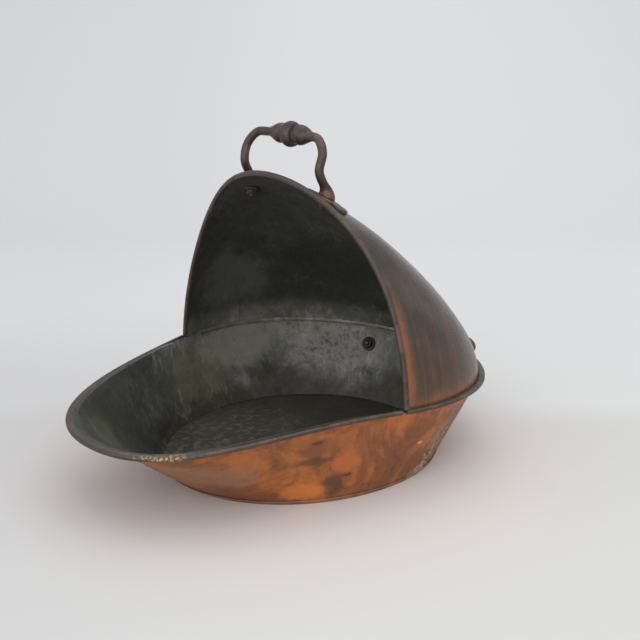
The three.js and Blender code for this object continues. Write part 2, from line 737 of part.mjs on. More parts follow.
function washer(fixed) {
  const bore = STUD_RADIUS + STUD_CLEARANCE;
  const profile = [
    v2(bore, 0),
    v2(WASHER_RADIUS, 0),
    v2(WASHER_RADIUS, WASHER_THICKNESS * 0.6),
    v2(WASHER_RADIUS - WASHER_THICKNESS * 0.4, WASHER_THICKNESS),
    v2(bore, WASHER_THICKNESS),
    v2(bore, 0),
  ];
  const ring = new THREE.LatheGeometry(profile, 16).rotateX(Math.PI / 2);
  return onStud(ring, fixed, washerDepth(fixed));
}

function nut(fixed) {
  const corner = NUT_FLATS / Math.sqrt(3);
  const shape = new THREE.Shape(round(corner, 6));
  shape.holes.push(new THREE.Path(round(STUD_RADIUS + STUD_CLEARANCE, 16)));
  const prism = new THREE.ExtrudeGeometry(shape, { depth: NUT_THICKNESS, bevelEnabled: false });
  return onStud(prism, fixed, nutDepth(fixed));
}

// ---------------------------------------------------------------- assembly
const material = (color, roughness, metalness) =>
  new THREE.MeshStandardMaterial({ color, roughness, metalness });

const COPPER = [0x9c5a34, 0.45, 0.85];
const DARK_COPPER = [0x5b4a3e, 0.5, 0.7];
const IRON = [0x43362f, 0.5, 0.7];
const SOLDER = [0x8f877a, 0.6, 0.6];

const scuttle = new THREE.Group();

function put(name, body, finish) {
  const mesh = new THREE.Mesh(geometryOf(body), material(...finish));
  mesh.name = name;
  scuttle.add(mesh);
}

// A handle with its plates, washers and nuts.
function putHandle(name, made, fixings) {
  put(`${name}_handle`, made, IRON);
  for (const fixed of fixings) {
    const side = fixed.side < 0 ? "left" : "right";
    put(`${name}_plate_${side}`, plate(fixed), IRON);
    put(`${name}_washer_${side}`, washer(fixed), IRON);
    put(`${name}_nut_${side}`, nut(fixed), IRON);
  }
}

put("base_pan", basePan(), COPPER);
put("body_shell", bodyShell(), COPPER);
put("lip_wire", lipWire(), IRON);
put("hood_shell", hoodShell(), DARK_COPPER);
put("hood_wire", hoodWire(), IRON);
put("seam_solder", seamSolder(), SOLDER);
putHandle("top", topHandle(), TOP_FIXINGS);
putHandle("rear", rearHandle(), REAR_FIXINGS);

// The origin lies under the middle of the object's length.
const box = new THREE.Box3().setFromObject(scuttle);
scuttle.position.y = -(box.min.y + box.max.y) / 2;

const root = new THREE.Group();
root.add(scuttle);
export default root;
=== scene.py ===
"""Looks of a helmet coal scuttle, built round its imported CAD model.

The copper body and hood, their rolled edges, the cast handles, the lobed plates, the fixings
and the crust on the wall are rebuilt finer than the CAD model, in its frame. Lengths inside
the classes are millimetres, as in the CAD model; a mesh is scaled to metres when it is made.
"""

import logging
import math
from dataclasses import dataclass, field
from enum import Enum
from typing import Callable, Sequence

import bmesh
import bpy
import numpy as np
from mathutils import Matrix, Vector


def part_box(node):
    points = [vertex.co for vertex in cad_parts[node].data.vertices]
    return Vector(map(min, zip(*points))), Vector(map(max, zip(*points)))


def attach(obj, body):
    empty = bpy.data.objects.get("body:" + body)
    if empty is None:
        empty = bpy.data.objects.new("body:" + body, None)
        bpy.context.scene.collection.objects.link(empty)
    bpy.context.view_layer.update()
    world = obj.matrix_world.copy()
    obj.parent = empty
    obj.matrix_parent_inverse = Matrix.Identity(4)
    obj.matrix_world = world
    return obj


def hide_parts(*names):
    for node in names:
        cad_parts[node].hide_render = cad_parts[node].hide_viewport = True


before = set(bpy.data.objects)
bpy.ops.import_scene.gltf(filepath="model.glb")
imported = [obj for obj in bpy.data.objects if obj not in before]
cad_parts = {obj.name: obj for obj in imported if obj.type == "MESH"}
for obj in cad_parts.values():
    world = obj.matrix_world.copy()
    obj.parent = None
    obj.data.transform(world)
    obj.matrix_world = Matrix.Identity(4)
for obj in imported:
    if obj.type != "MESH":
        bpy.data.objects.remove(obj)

LOG = logging.getLogger("scuttle")
MM = 0.001
ROOT = "root"
SIDES = {"left": -1, "right": 1}

Array = np.ndarray
Colour = tuple[float, float, float]
Place = tuple[float, float, float]
Span = tuple[float, float]
Mesh, Object, Material = bpy.types.Mesh, bpy.types.Object, bpy.types.Material
Node, Socket = bpy.types.Node, bpy.types.NodeSocket
Materials = dict[str, Material]


class Skin(Enum):
    """The surfaces of a worked sheet, in the order of their materials."""

    OUTSIDE = 0
    INSIDE = 1
    EDGE = 2
    FOLD = 3


# ---------------------------------------------------------------- sizes
@dataclass(frozen=True)
class Sizes:
    """Sizes of the scuttle in millimetres, as in the CAD model."""

    sheet: float = 1.0
    gap: float = 0.3
    foot_half_width: float = 175
    lip_reach: float = 246
    lip_taper: float = 54
    lip_side: float = 140
    lip_nose: float = 111
    rear_reach: float = 223
    rear_swell: float = 44
    rear_side: float = 138
    rear_nose: float = 109
    rim_height: float = 96
    lip_drop: float = 13
    lip_crest: float = 9
    rear_drop: float = 6.5
    base_half_width: float = 149
    base_front: float = 169
    base_rear: float = 154
    base_middle_y: float = 31
    pan_edge: float = 4
    band_foot: float = 6
    band_lip: float = 11.5
    band_rear: float = 7.5
    band_blend: float = 60
    lip_bead: float = 2.6
    shoulder_fall: float = 1
    roll_start: float = 5
    arch_height: float = 220
    arch_tuck: float = 6
    arch_side: float = 117
    arch_crown: float = 98
    arch_bow: float = 6
    arch_nod: float = 31
    ridge_length: float = 119
    ridge_fall: float = 37
    hood_bead: float = 3.1
    handle_foot: float = 57
    handle_rise: float = 60.5
    arm_radius: float = 4.7
    foot_radius: float = 9
    foot_flare: float = 15
    grip_half: float = 34
    grip_radius: float = 10.7
    swell_offset: float = 14
    collar_radius: float = 13.7
    collar_half: float = 6.5
    collar_crown: float = 0.2
    collar_neck: float = 0.75
    collar_shift: float = 5
    top_arm_bow: float = 10.5
    rear_arm_spread: float = 13
    rear_handle_tilt: float = 15
    top_foot_y: float = 8
    rear_foot_z: float = 66
    plate_thickness: float = 3
    plate_heart: float = 13
    plate_lobe: float = 8
    plate_reach: float = 25.5
    plate_tip: float = 2
    stud_radius: float = 3
    washer_radius: float = 9
    washer_thickness: float = 1.5
    nut_flats: float = 11
    nut_thickness: float = 5
    stud_past_nut: float = 2
    facet_allowance: float = 0.4

    @property
    def seam_height(self) -> float:
        """Height of the folded seam: three layers with two clearances."""
        return 3 * self.sheet + 2 * self.gap


SIZES = Sizes()
SHIFT_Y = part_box("body_shell")[0].y / MM + SIZES.lip_reach + SIZES.band_lip


def metres(points: Array | Place) -> Array:
    """Takes millimetres from the middle of the hood's feet to metres in the row frame."""
    return (np.asarray(points) + (0, SHIFT_Y, 0)) * MM


# ---------------------------------------------------------------- curves
def bezier(points: Sequence[tuple[float, float]], t: Array) -> Array:
    """Points of a plane cubic curve.

    Args:
        points: The curve's four control points.
        t: Places along the curve, from 0 to 1, in any array shape.

    Returns:
        The points, with one more axis of length 2.
    """
    a, b, c, d = (np.asarray(p, float) for p in points)
    t = np.asarray(t, float)[..., None]
    s = 1 - t
    return s**3 * a + 3 * s * s * t * b + 3 * s * t * t * c + t**3 * d


def smooth(x: Array) -> Array:
    """A smooth step from 0 to 1, for values of which 0 and 1 are its ends."""
    x = np.clip(x, 0, 1)
    return x * x * (3 - 2 * x)


def unit(v: Array) -> Array:
    """Vectors of length one in the same directions, along the last axis."""
    return v / np.maximum(np.linalg.norm(v, axis=-1, keepdims=True), 1e-9)


def solve(rising: Callable[[float], float], target: float, low: float, high: float) -> float:
    """Finds where a rising function reaches a target, by halving.

    Args:
        rising: The function.
        target: The value to reach.
        low: A place at or below the answer.
        high: A place at or above it.

    Returns:
        The place.
    """
    for _ in range(40):
        middle = (low + high) / 2
        if rising(middle) < target:
            low = middle
        else:
            high = middle
    return (low + high) / 2


# ---------------------------------------------------------------- meshes
def store(mesh: Mesh, name: str, values: Array | list, domain: str = "POINT") -> None:
    """Stores a number or a vector for each point or face of a mesh.

    Args:
        mesh: The mesh.
        name: The attribute's name.
        values: The numbers, or the vectors along the last axis.
        domain: Whether they belong to the points or to the faces.
    """
    values = np.asarray(values, np.float32)
    kind, key = ("FLOAT", "value") if values.ndim == 1 else ("FLOAT_VECTOR", "vector")
    mesh.attributes.new(name, kind, domain).data.foreach_set(key, values.reshape(-1))


def dots(name: str, points: Array, ways: Array) -> Mesh:
    """Makes a mesh of loose points to set copies on.

    Args:
        name: The mesh's name.
        points: The points.
        ways: Where the Z axis of each copy points.

    Returns:
        The mesh.
    """
    mesh = bpy.data.meshes.new(name)
    mesh.from_pydata(metres(points).tolist(), [], [])
    store(mesh, "way", ways)
    return mesh


def show(name: str, data: bpy.types.ID) -> Object:
    """Makes an object and puts it in the scene.

    Args:
        name: The object's name.
        data: Its mesh, light or camera.

    Returns:
        The object.
    """
    obj = bpy.data.objects.new(name, data)
    bpy.context.scene.collection.objects.link(obj)
    return obj


@dataclass
class Draft:
    """A mesh in the making, in millimetres, measured from the hood's feet.

    Attributes:
        points: Arrays of points.
        ways: The way each point may be pushed when the sheet is dented.
        uvs: A place on the surface for each point.
        faces: Vertex numbers of each face.
        slots: The material slot of each face.
        marks: Values for each point, by attribute name.
        count: How many points there are.
    """

    points: list[Array] = field(default_factory=list)
    ways: list[Array] = field(default_factory=list)
    uvs: list[Array] = field(default_factory=list)
    faces: list[tuple[int, ...]] = field(default_factory=list)
    slots: list[int] = field(default_factory=list)
    marks: dict[str, list[Array]] = field(default_factory=dict)
    count: int = 0

    def grid(
        self,
        points: Array,
        slots: Sequence[int] | int = 0,
        closed: tuple[bool, bool] = (False, False),
        ways: Array | None = None,
        marks: dict[str, Array] | None = None,
    ) -> int:
        """Adds a grid of points as faces.

        Args:
            points: Points in an array (rows, columns, 3).
            slots: A material slot for each column, or one for all.
            closed: Whether the rows and the columns join up at the ends.
            ways: Vectors in the same layout, as long as the point may move.
            marks: Values in arrays (rows, columns), by attribute name.

        Returns:
            The number of the grid's first point.
        """
        rows, columns = points.shape[:2]
        first = self.count
        per_column = [slots] * columns if isinstance(slots, int) else list(slots)
        for i in range(rows if closed[0] else rows - 1):
            for j in range(columns if closed[1] else columns - 1):
                a = first + i * columns + j
                b = first + i * columns + (j + 1) % columns
                c = first + (i + 1) % rows * columns + (j + 1) % columns
                d = first + (i + 1) % rows * columns + j
                self.faces.append((a, b, c, d))
                self.slots.append(per_column[j])
        u, v = np.meshgrid(np.arange(rows) / rows, np.arange(columns) / columns, indexing="ij")
        for name, values in (marks or {}).items():
            self.marks.setdefault(name, [np.zeros(self.count)])
            self.marks[name].append(np.asarray(values, float).reshape(-1))
        for name, kept in self.marks.items():
            if name not in (marks or {}):
                kept.append(np.zeros(rows * columns))
        self.points.append(points.reshape(-1, 3))
        self.ways.append((np.zeros_like(points) if ways is None else ways).reshape(-1, 3))
        self.uvs.append(np.stack([u, v], -1).reshape(-1, 2))
        self.count += rows * columns
        return first

    def cap(self, ring: Sequence[int], slot: int = 0) -> None:
        """Closes a ring of vertex numbers with one face of a material slot."""
        self.faces.append(tuple(ring))
        self.slots.append(slot)

    def tube(self, sections: Array, slot: int) -> None:
        """Adds a closed bar through a row of closed sections.

        Args:
            sections: Points (stations, places, 3).
            slot: Its material slot.
        """
        first = self.grid(sections, slot, closed=(False, True))
        rows, places = sections.shape[:2]
        self.cap([first + j for j in range(places)], slot)
        last = first + (rows - 1) * places
        self.cap([last + j for j in reversed(range(places))], slot)

    def mesh(self, name: str, sharp: float = 38, origin: Place = (0, SHIFT_Y, 0)) -> Mesh:
        """Makes the mesh, in metres and in the row frame, shaded smooth, its faces outwards.

        Args:
            name: The mesh's name.
            sharp: Edges sharper than this many degrees stay sharp.
            origin: Where the draft's own origin goes, in millimetres.

        Returns:
            The mesh, with each face's slot as the value "skin".
        """
        made = bpy.data.meshes.new(name)
        co = (np.concatenate(self.points) + origin) * MM
        made.from_pydata(co.tolist(), [], self.faces)
        made.polygons.foreach_set("use_smooth", [True] * len(self.faces))
        layer = made.uv_layers.new(name="surface")
        corner = np.array([loop.vertex_index for loop in made.loops])
        layer.data.foreach_set("uv", np.concatenate(self.uvs)[corner].reshape(-1))
        store(made, "skin", self.slots, "FACE")
        store(made, "way", np.concatenate(self.ways))
        for mark, values in self.marks.items():
            store(made, mark, np.concatenate(values))
        made.validate()
        outward(made)
        made.set_sharp_from_angle(angle=math.radians(sharp))
        return made


def outward(mesh: Mesh) -> None:
    """Merges a mesh's doubles and turns its faces outwards.

    Args:
        mesh: The mesh, which is changed in place.
    """
    work = bmesh.new()
    work.from_mesh(mesh)
    bmesh.ops.remove_doubles(work, verts=work.verts, dist=1e-7)
    bmesh.ops.recalc_face_normals(work, faces=work.faces)
    work.to_mesh(mesh)
    work.free()


# ---------------------------------------------------------------- the rim and the wall
@dataclass(frozen=True)
class Stations:
    """Places round the wall's top edge, in arrays along the first axis."""

    front: bool
    xy: Array
    normal: Array
    band: Array
    middle: Array
    top: Array
    base: Array
    base_normal: Array
    out: Array
    up: Array

    def at(self, n: Array, z: Array) -> Array:
        """Points at a distance out from the wall's top edge.

        Args:
            n: Distances outwards, one for each station.
            z: Heights over the floor, one for each station.

        Returns:
            The points.
        """
        place = self.xy + self.normal * np.asarray(n, float).reshape(-1, 1)
        height = np.broadcast_to(np.asarray(z, float), place.shape[:1])
        return np.concatenate([place, height[:, None]], 1)

    def wall(self, z: Array, off: float = 0) -> tuple[Array, Array]:
        """Points of the wall's outer face.

        Args:
            z: Heights over the floor, one for each station.
            off: Distance off the face, outwards.

        Returns:
            The points and the wall's outward normals.
        """
        share = (np.broadcast_to(z, self.top.shape) / self.top)[:, None]
        run = self.xy - self.base
        level = unit(self.base_normal * (1 - share) + self.normal * share)
        lean = np.arctan2((run * level).sum(1), self.top)[:, None]
        place = self.base + run * share + level * off / np.cos(lean)
        height = np.broadcast_to(z, self.top.shape)[:, None]
        normal = np.concatenate([level * np.cos(lean), -np.sin(lean)], 1)
        return np.concatenate([place, height], 1), normal


class Rim:
    """The line round the top of the wall, and what is measured from it."""

    def __init__(self, sizes: Sizes) -> None:
        """Sets up the plan curves.

        Args:
            sizes: The scuttle's sizes.
        """
        self.sizes = sizes
        half = sizes.foot_half_width
        self.lip_plan = [
            (half, 0),
            (half - sizes.lip_taper, sizes.lip_side),
            (sizes.lip_nose, sizes.lip_reach),
            (0, sizes.lip_reach),
        ]
        self.rear_plan = [
            (half, 0),
            (half + sizes.rear_swell, sizes.rear_side),
            (sizes.rear_nose, sizes.rear_reach),
            (0, sizes.rear_reach),
        ]

    def height(self, y: Array) -> Array:
        """Height of the rim's middle line.

        Args:
            y: Places along the length.

        Returns:
            Heights over the floor.
        """
        s = self.sizes
        a = -y / s.lip_reach
        front = s.rim_height - s.lip_drop * a * a + s.lip_crest * a * (1 - a)
        return np.where(y >= 0, s.rim_height - s.rear_drop * y / s.rear_reach, front)

    def stations(self, front: bool, side: int, t: Array) -> Stations:
        """Stations along one side of the lip or of the rear.

        Args:
            front: Whether they lie on the lip's half.
            side: 1 for the +X side, -1 for the other.
            t: Places along the plan curve, 0 at the hood's foot.

        Returns:
            The stations.
        """
        s = self.sizes
        plan = self.lip_plan if front else self.rear_plan
        way = -1 if front else 1
        point = bezier(plan, t)
        tangent = unit(bezier(plan, t + 1e-4) - bezier(plan, t - 1e-4))
        xy = point * (side, way)
        normal = np.stack([side * tangent[:, 1], -way * tangent[:, 0]], 1)
        share = smooth(point[:, 1] / (s.lip_reach if front else s.rear_reach))
        band = s.band_foot + ((s.band_lip if front else s.band_rear) - s.band_foot) * share
        middle = self.height(xy[:, 1])
        seam_top = middle - s.seam_height / 2
        lip_top = middle + s.lip_bead - s.sheet - s.shoulder_fall
        near = smooth(point[:, 1] / s.band_blend) if front else np.zeros(len(t))
        top = seam_top + (lip_top - seam_top) * near
        arm = xy - (0, s.base_middle_y)
        reach = np.where(arm[:, 1] < 0, s.base_front, s.base_rear)
        axes = np.stack([np.full(len(t), s.base_half_width), reach], 1)
        base = arm / np.linalg.norm(arm / axes, axis=1, keepdims=True)
        base_normal = unit(base / axes**2)
        base = base + (0, s.base_middle_y)
        run = ((xy - base) * normal).sum(1)
        out = run / np.hypot(run, top)
        up = np.sqrt(1 - out * out)
        return Stations(front, xy, normal, band, middle, top, base, base_normal, out, up)

    def rear(self, count: int) -> Stations:
        """Stations from the +X foot round the rear to the -X foot, count steps a side."""
        t = np.arange(count + 1) / count
        return join(self.stations(False, 1, t), self.stations(False, -1, t[-2::-1]))

    def front(self, count: int) -> Stations:
        """Stations round the lip, from the -X foot to the +X foot.

        Args:
            count: Steps on each side.

        Returns:
            The stations.
        """
        start = solve(lambda t: bezier(self.lip_plan, t)[1], self.sizes.roll_start, 0, 1)
        t = start + (1 - start) * np.arange(count + 1) / count
        return join(self.stations(True, -1, t), self.stations(True, 1, t[-2::-1]))


def join(a: Stations, b: Stations) -> Stations:
    """Joins two rows of stations.

    Args:
        a: The first row.
        b: The second row.

    Returns:
        One row.
    """
    names = ("xy", "normal", "band", "middle", "top", "base", "base_normal", "out", "up")
    joined = {n: np.concatenate([getattr(a, n), getattr(b, n)]) for n in names}
    return Stations(front=a.front, **joined)


# ---------------------------------------------------------------- the hood's surface
class HoodSurface:
    """The hood's outer surface, a stack of arches that shrink along the ridge."""

    def __init__(self, sizes: Sizes, rim: Rim) -> None:
        """Sets up the arch and the ridge.

        Args:
            sizes: The scuttle's sizes.
            rim: The rim that the hood stands on.
        """
        self.sizes = sizes
        self.rim = rim
        self.arch = [
            (sizes.foot_half_width, 0),
            (sizes.foot_half_width - sizes.arch_tuck, sizes.arch_side),
            (sizes.arch_crown, sizes.arch_height),
            (0, sizes.arch_height),
        ]
        reach = sizes.rear_reach + sizes.arch_nod - sizes.arch_bow
        ridge = bezier(
            [
                (0, sizes.arch_height),
                (sizes.ridge_length, sizes.arch_height - sizes.ridge_fall),
                (reach, 0),
                (reach, 0),
            ],
            np.arange(801) / 800,
        )
        self.ridge_u = ridge[:, 0] / reach
        self.ridge_h = ridge[:, 1]

    def point(self, t: Array, v: Array) -> Array:
        """Points of the surface.

        Args:
            t: From the arch (0) to the rear (1).
            v: From the +X foot (0) over the top to the other foot (1).

        Returns:
            The points.
        """
        s = self.sizes
        t, v = np.broadcast_arrays(np.asarray(t, float), np.asarray(v, float))
        arch = bezier(self.arch, np.where(v <= 0.5, 2 * v, 2 - 2 * v))
        plan = bezier(self.rim.rear_plan, t)
        u = plan[..., 1] / s.rear_reach
        rise = arch[..., 1] / s.arch_height
        lean = s.arch_bow * rise - s.arch_nod * rise**4
        height = np.interp(u, self.ridge_u, self.ridge_h)
        x = np.sign(0.5 - v) * arch[..., 0] * plan[..., 0] / s.foot_half_width
        y = plan[..., 1] + (1 - u) * lean
        z = self.rim.height(plan[..., 1]) + rise * height
        return np.stack([x, y, z], -1)

    def normal(self, t: Array, v: Array) -> Array:
        """Outward normals of the surface.

        Args:
            t: From the arch (0) to the rear (1).
            v: From foot to foot.

        Returns:
            The normals.
        """
        d, near_tip = 1e-3, 0.985
        t, v = np.broadcast_arrays(np.asarray(t, float), np.asarray(v, float))
        t0, t1 = np.clip(t - d, 0, near_tip), np.minimum(t, near_tip)
        v0 = np.clip(v - d, 0, 1 - 2 * d)
        along = self.point(t0 + d, v) - self.point(t0, v)
        across = self.point(t1, v0 + 2 * d) - self.point(t1, v0)
        return -unit(np.cross(across, along))

    def above(self, x: float, y: float) -> tuple[Array, Array]:
        """The surface's point and normal above a place of the plan.

        Args:
            x: Place across.
            y: Place along the length.

        Returns:
            The point and the normal.
        """
        half = self.sizes.foot_half_width

        def place(t: float) -> float:
            """Finds where the arc at t has the wanted x.

            Args:
                t: From the arch (0) to the rear (1).

            Returns:
                The place from foot to foot.
            """
            width = max(float(bezier(self.rim.rear_plan, t)[0]), 1e-6)
            share = half * abs(x) / width
            arc = solve(lambda s: -float(bezier(self.arch, s)[0]), -share, 0, 1) / 2
            return arc if x >= 0 else 1 - arc

        t = solve(lambda s: float(self.point(s, place(s))[1]), y, 0, 1)
        return self.point(t, place(t)), self.normal(t, place(t))


RIM = Rim(SIZES)
HOOD = HoodSurface(SIZES, RIM)


def wall_at(x: float, z: float) -> tuple[Array, Array]:
    """The rear wall's point and normal at a place seen from behind.

    Args:
        x: Place across.
        z: Height over the floor.

    Returns:
        The point and the normal.
    """
    side = -1 if x < 0 else 1
    widest = 0.3

    def place(t: float) -> tuple[Array, Array]:
        """The point and the normal at a place along the plan curve."""
        points, normals = RIM.stations(False, side, np.array([t])).wall(np.array([z]))
        return points[0], normals[0]

    t = solve(lambda q: -abs(float(place(q)[0][0])), -abs(x), widest, 1)
    return place(t)


# ---------------------------------------------------------------- node graphs
class Graph:
    """A thin helper that adds and links nodes of one tree."""

    def __init__(self, tree: bpy.types.NodeTree) -> None:
        """Keeps a shader tree or a geometry tree."""
        self.tree = tree

    def add(self, kind: str, inputs: dict | None = None, **settings: object) -> Node:
        """Adds a node.

        Args:
            kind: The node's type.
            inputs: Values or sockets for its inputs, by name or number.
            **settings: The node's own properties.

        Returns:
            The node.
        """
        node = self.tree.nodes.new(kind)
        for name, value in settings.items():
            setattr(node, name, value)
        for key, value in (inputs or {}).items():
            self.feed(node.inputs[key], value)
        return node

    def feed(self, socket: Socket, value: object) -> None:
        """Gives a socket a value or a link.

        Args:
            socket: The input.
            value: A socket to link from, or a constant.
        """
        if isinstance(value, Socket):
            self.tree.links.new(value, socket)
        elif isinstance(value, tuple) and len(value) == 3 and socket.type == "RGBA":
            socket.default_value = (*value, 1)
        else:
            socket.default_value = value

    def maths(self, operation: str, a: object, b: object = 0.0) -> Socket:
        """The result of a named operation with two values or sockets."""
        return self.add("ShaderNodeMath", {0: a, 1: b}, operation=operation).outputs[0]

    def times(self, a: object, b: object) -> Socket:
        """The product of two values or sockets."""
        return self.maths("MULTIPLY", a, b)

    def plus(self, a: object, b: object) -> Socket:
        """The sum of two values or sockets."""
        return self.maths("ADD", a, b)

    def vector(self, operation: str, a: object, b: object = (0.0, 0.0, 0.0)) -> Socket:
        """A calculation with two vectors.

        Args:
            operation: The operation's name.
            a: The first vector or socket.
            b: The second vector, or the factor of a scaling.

        Returns:
            The result, a number for a length or a dot product and a vector for the rest.
        """
        second = 3 if operation == "SCALE" else 1
        node = self.add("ShaderNodeVectorMath", {0: a, second: b}, operation=operation)
        return node.outputs["Value" if operation in ("LENGTH", "DOT_PRODUCT") else "Vector"]

    def noise(
        self,
        where: object,
        scale: object,
        detail: float = 4,
        rough: float = 0.55,
        swirl: float = 0,
    ) -> Socket:
        """Noise between about 0 and 1.

        Args:
            where: The coordinates.
            scale: Patches to the metre.
            detail: How many finer layers.
            rough: How strong the finer layers are.
            swirl: How much the patches are drawn out into swirls.

        Returns:
            The value.
        """
        inputs = {
            "Vector": where,
            "Scale": scale,
            "Detail": detail,
            "Roughness": rough,
            "Distortion": swirl,
        }
        return self.add("ShaderNodeTexNoise", inputs).outputs["Fac"]

    def ramp(self, value: object, low: float, high: float, ends: Span = (0, 1)) -> Socket:
        """A smooth step of a value.

        Args:
            value: The value or socket.
            low: Where the step starts.
            high: Where it ends.
            ends: The result at the start and at the end.

        Returns:
            The stepped value.
        """
        inputs = {"Value": value, "From Min": low, "From Max": high}
        inputs |= {"To Min": ends[0], "To Max": ends[1]}
        return self.add("ShaderNodeMapRange", inputs, interpolation_type="SMOOTHSTEP").outputs[0]

    def mix(self, share: object, a: object, b: object) -> Socket:
        """A mix of two colours, in which the second one has the share."""
        return self.add("ShaderNodeMix", {0: share, 6: a, 7: b}, data_type="RGBA").outputs[2]

    def mark(self, name: str) -> Socket:
        """A value stored on the mesh under a name."""
        return self.add("ShaderNodeAttribute", attribute_name=name).outputs["Fac"]


def start(name: str) -> tuple[Material, Graph, Socket, Node]:
    """Starts a material.

    Args:
        name: The material's name.

    Returns:
        The material, its graph, the object coordinates and the shader node.
    """
    material = bpy.data.materials.new(name)
    material.use_nodes = True
    graph = Graph(material.node_tree)
    where = graph.add("ShaderNodeTexCoord").outputs["Object"]
    return material, graph, where, material.node_tree.nodes["Principled BSDF"]


def srgb(red: int, green: int, blue: int) -> Colour:
    """A colour from screen values.

    Args:
        red: 0 to 255.
        green: 0 to 255.
        blue: 0 to 255.

    Returns:
        The colour in linear values.
    """

    def linear(value: int) -> float:
        """One value made linear."""
        share = value / 255
        return share / 12.92 if share <= 0.04045 else ((share + 0.055) / 1.055) ** 2.4

    return linear(red), linear(green), linear(blue)


# ---------------------------------------------------------------- finishes
@dataclass(frozen=True)
class Blot:
    """A ragged patch of another colour at one place of the object.

    Attributes:
        centre: Its middle in millimetres, in the row frame.
        reach: Its half-sizes in millimetres.
        colour: Its colour.
        strength: How much it covers.
        ragged: How uneven its edge is.
        grain: Details of its edge to the metre.
        specks: Share of it left as separate specks; 0 leaves it whole.
        speck_size: Specks to the metre.
    """

    centre: Place
    reach: Place
    colour: Colour
    strength: float = 1.0
    ragged: float = 0.9
    grain: float = 34
    specks: float = 0
    speck_size: float = 260

    def paint(self, graph: Graph, where: object, colour: object) -> Socket:
        """Paints the blot over a colour.

        Args:
            graph: The material's graph.
            where: The object coordinates.
            colour: The colour below.

        Returns:
            The new colour.
        """
        centre = tuple(c * MM for c in self.centre)
        reach = tuple(r * MM for r in self.reach)
        share = graph.vector("DIVIDE", graph.vector("SUBTRACT", where, centre), reach)
        wobble = graph.times(graph.noise(where, self.grain, 6, 0.66), 2 * self.ragged)
        edge = graph.plus(graph.vector("LENGTH", share), wobble)
        bare, covered = 1.25 + self.ragged, 0.55 + self.ragged
        mask = graph.ramp(edge, bare, covered)
        if self.specks:
            bits = graph.noise(where, self.speck_size, 7, 0.75)
            low, width = 0.62 - 0.3 * self.specks, 0.16
            mask = graph.times(mask, graph.ramp(bits, low, low + width))
        return graph.mix(graph.times(mask, self.strength), colour, self.colour)


@dataclass(frozen=True)
class Finish:
    """A worn surface in three colours with blots on it.

    Attributes:
        name: The material's name.
        base: The main colour.
        light: The colour of the lighter patches.
        dark: The colour of the stains.
        patch: Patches to the metre.
        swirl: How much the patches are drawn out into swirls.
        metallic: How metallic it is.
        roughness: The lowest and highest roughness.
        bump: Depth of the surface's grain in metres.
        grain: Grains to the metre.
        cover: How far the lighter patches and the stains spread, 0.5 being a half.
        blots: What is painted over it, in order.
    """

    name: str
    base: Colour
    light: Colour
    dark: Colour
    patch: float = 18
    swirl: float = 0
    metallic: float = 0.6
    roughness: Span = (0.35, 0.6)
    bump: float = 0.0003
    grain: float = 260
    cover: Span = (0.5, 0.5)
    blots: tuple[Blot, ...] = ()

    def colour(self, graph: Graph, where: Socket) -> Socket:
        """The three colours in patches, without the blots.

        Args:
            graph: The material's graph.
            where: The object coordinates.

        Returns:
            The colour.
        """
        half_covered, change = 0.56, 0.12
        lit, stained = (half_covered - change * (share - 0.5) for share in self.cover)
        patches = graph.noise(where, self.patch, 7, 0.62, self.swirl)
        stains = graph.noise(where, self.patch * 1.7, 7, 0.68, self.swirl * 0.7)
        fine = graph.ramp(graph.noise(where, self.patch * 9, 5, 0.7), 0.35, 0.7)
        colour = graph.mix(graph.ramp(patches, lit - 0.1, lit + 0.1), self.base, self.light)
        colour = graph.mix(graph.ramp(stains, stained - 0.04, stained + 0.16), colour, self.dark)
        return graph.mix(graph.times(fine, 0.22), colour, self.dark)

    def finish(self, graph: Graph, where: Socket, shader: Node, colour: Socket) -> None:
        """Sets the shader from a colour.

        Args:
            graph: The material's graph.
            where: The object coordinates.
            shader: The shader node.
            colour: The colour.
        """
        spread = graph.noise(where, self.patch * 1.7, 6, 0.7)
        height = graph.noise(where, self.grain, 5, 0.6)
        bump = graph.add("ShaderNodeBump", {"Height": height, "Distance": self.bump})
        graph.feed(shader.inputs["Base Color"], colour)
        graph.feed(shader.inputs["Roughness"], graph.ramp(spread, 0.3, 0.7, self.roughness))
        graph.feed(shader.inputs["Metallic"], self.metallic)
        graph.feed(shader.inputs["Normal"], bump.outputs["Normal"])

    def make(self) -> Material:
        """Makes the material.

        Returns:
            The material.
        """
        material, graph, where, shader = start(self.name)
        colour = self.colour(graph, where)
        for blot in self.blots:
            colour = blot.paint(graph, where, colour)
        self.finish(graph, where, shader, colour)
        return material


@dataclass(frozen=True)
class BodyFinish(Finish):
    """Orange copper, brightest under the rim and greyer round the foot.

    Attributes:
        bright: The colour of the freshly rubbed copper under the rim.
        dusty: The colour of the dusty foot.
        bright_share: Shares of the wall's height between which the bright copper sets in.
        dusty_share: Shares of the wall's height between which the dust sets in.
    """

    bright: Colour = srgb(196, 106, 44)
    dusty: Colour = srgb(138, 106, 84)
    bright_share: Span = (0.72, 0.96)
    dusty_share: Span = (0.12, 0.0)

    def colour(self, graph: Graph, where: Socket) -> Socket:
        """The patchy colour with the bright copper and the dust.

        Args:
            graph: The material's graph.
            where: The object coordinates.

        Returns:
            The colour.
        """
        share = graph.mark("wall_share")
        rubbed = graph.noise(where, 40, 6, 0.66, 1.2)
        high = graph.times(graph.ramp(share, *self.bright_share), graph.ramp(rubbed, 0.42, 0.62))
        low = graph.times(graph.ramp(share, *self.dusty_share), graph.ramp(rubbed, 0.62, 0.4))
        colour = graph.mix(graph.times(high, 0.8), super().colour(graph, where), self.bright)
        return graph.mix(graph.times(low, 0.75), colour, self.dusty)


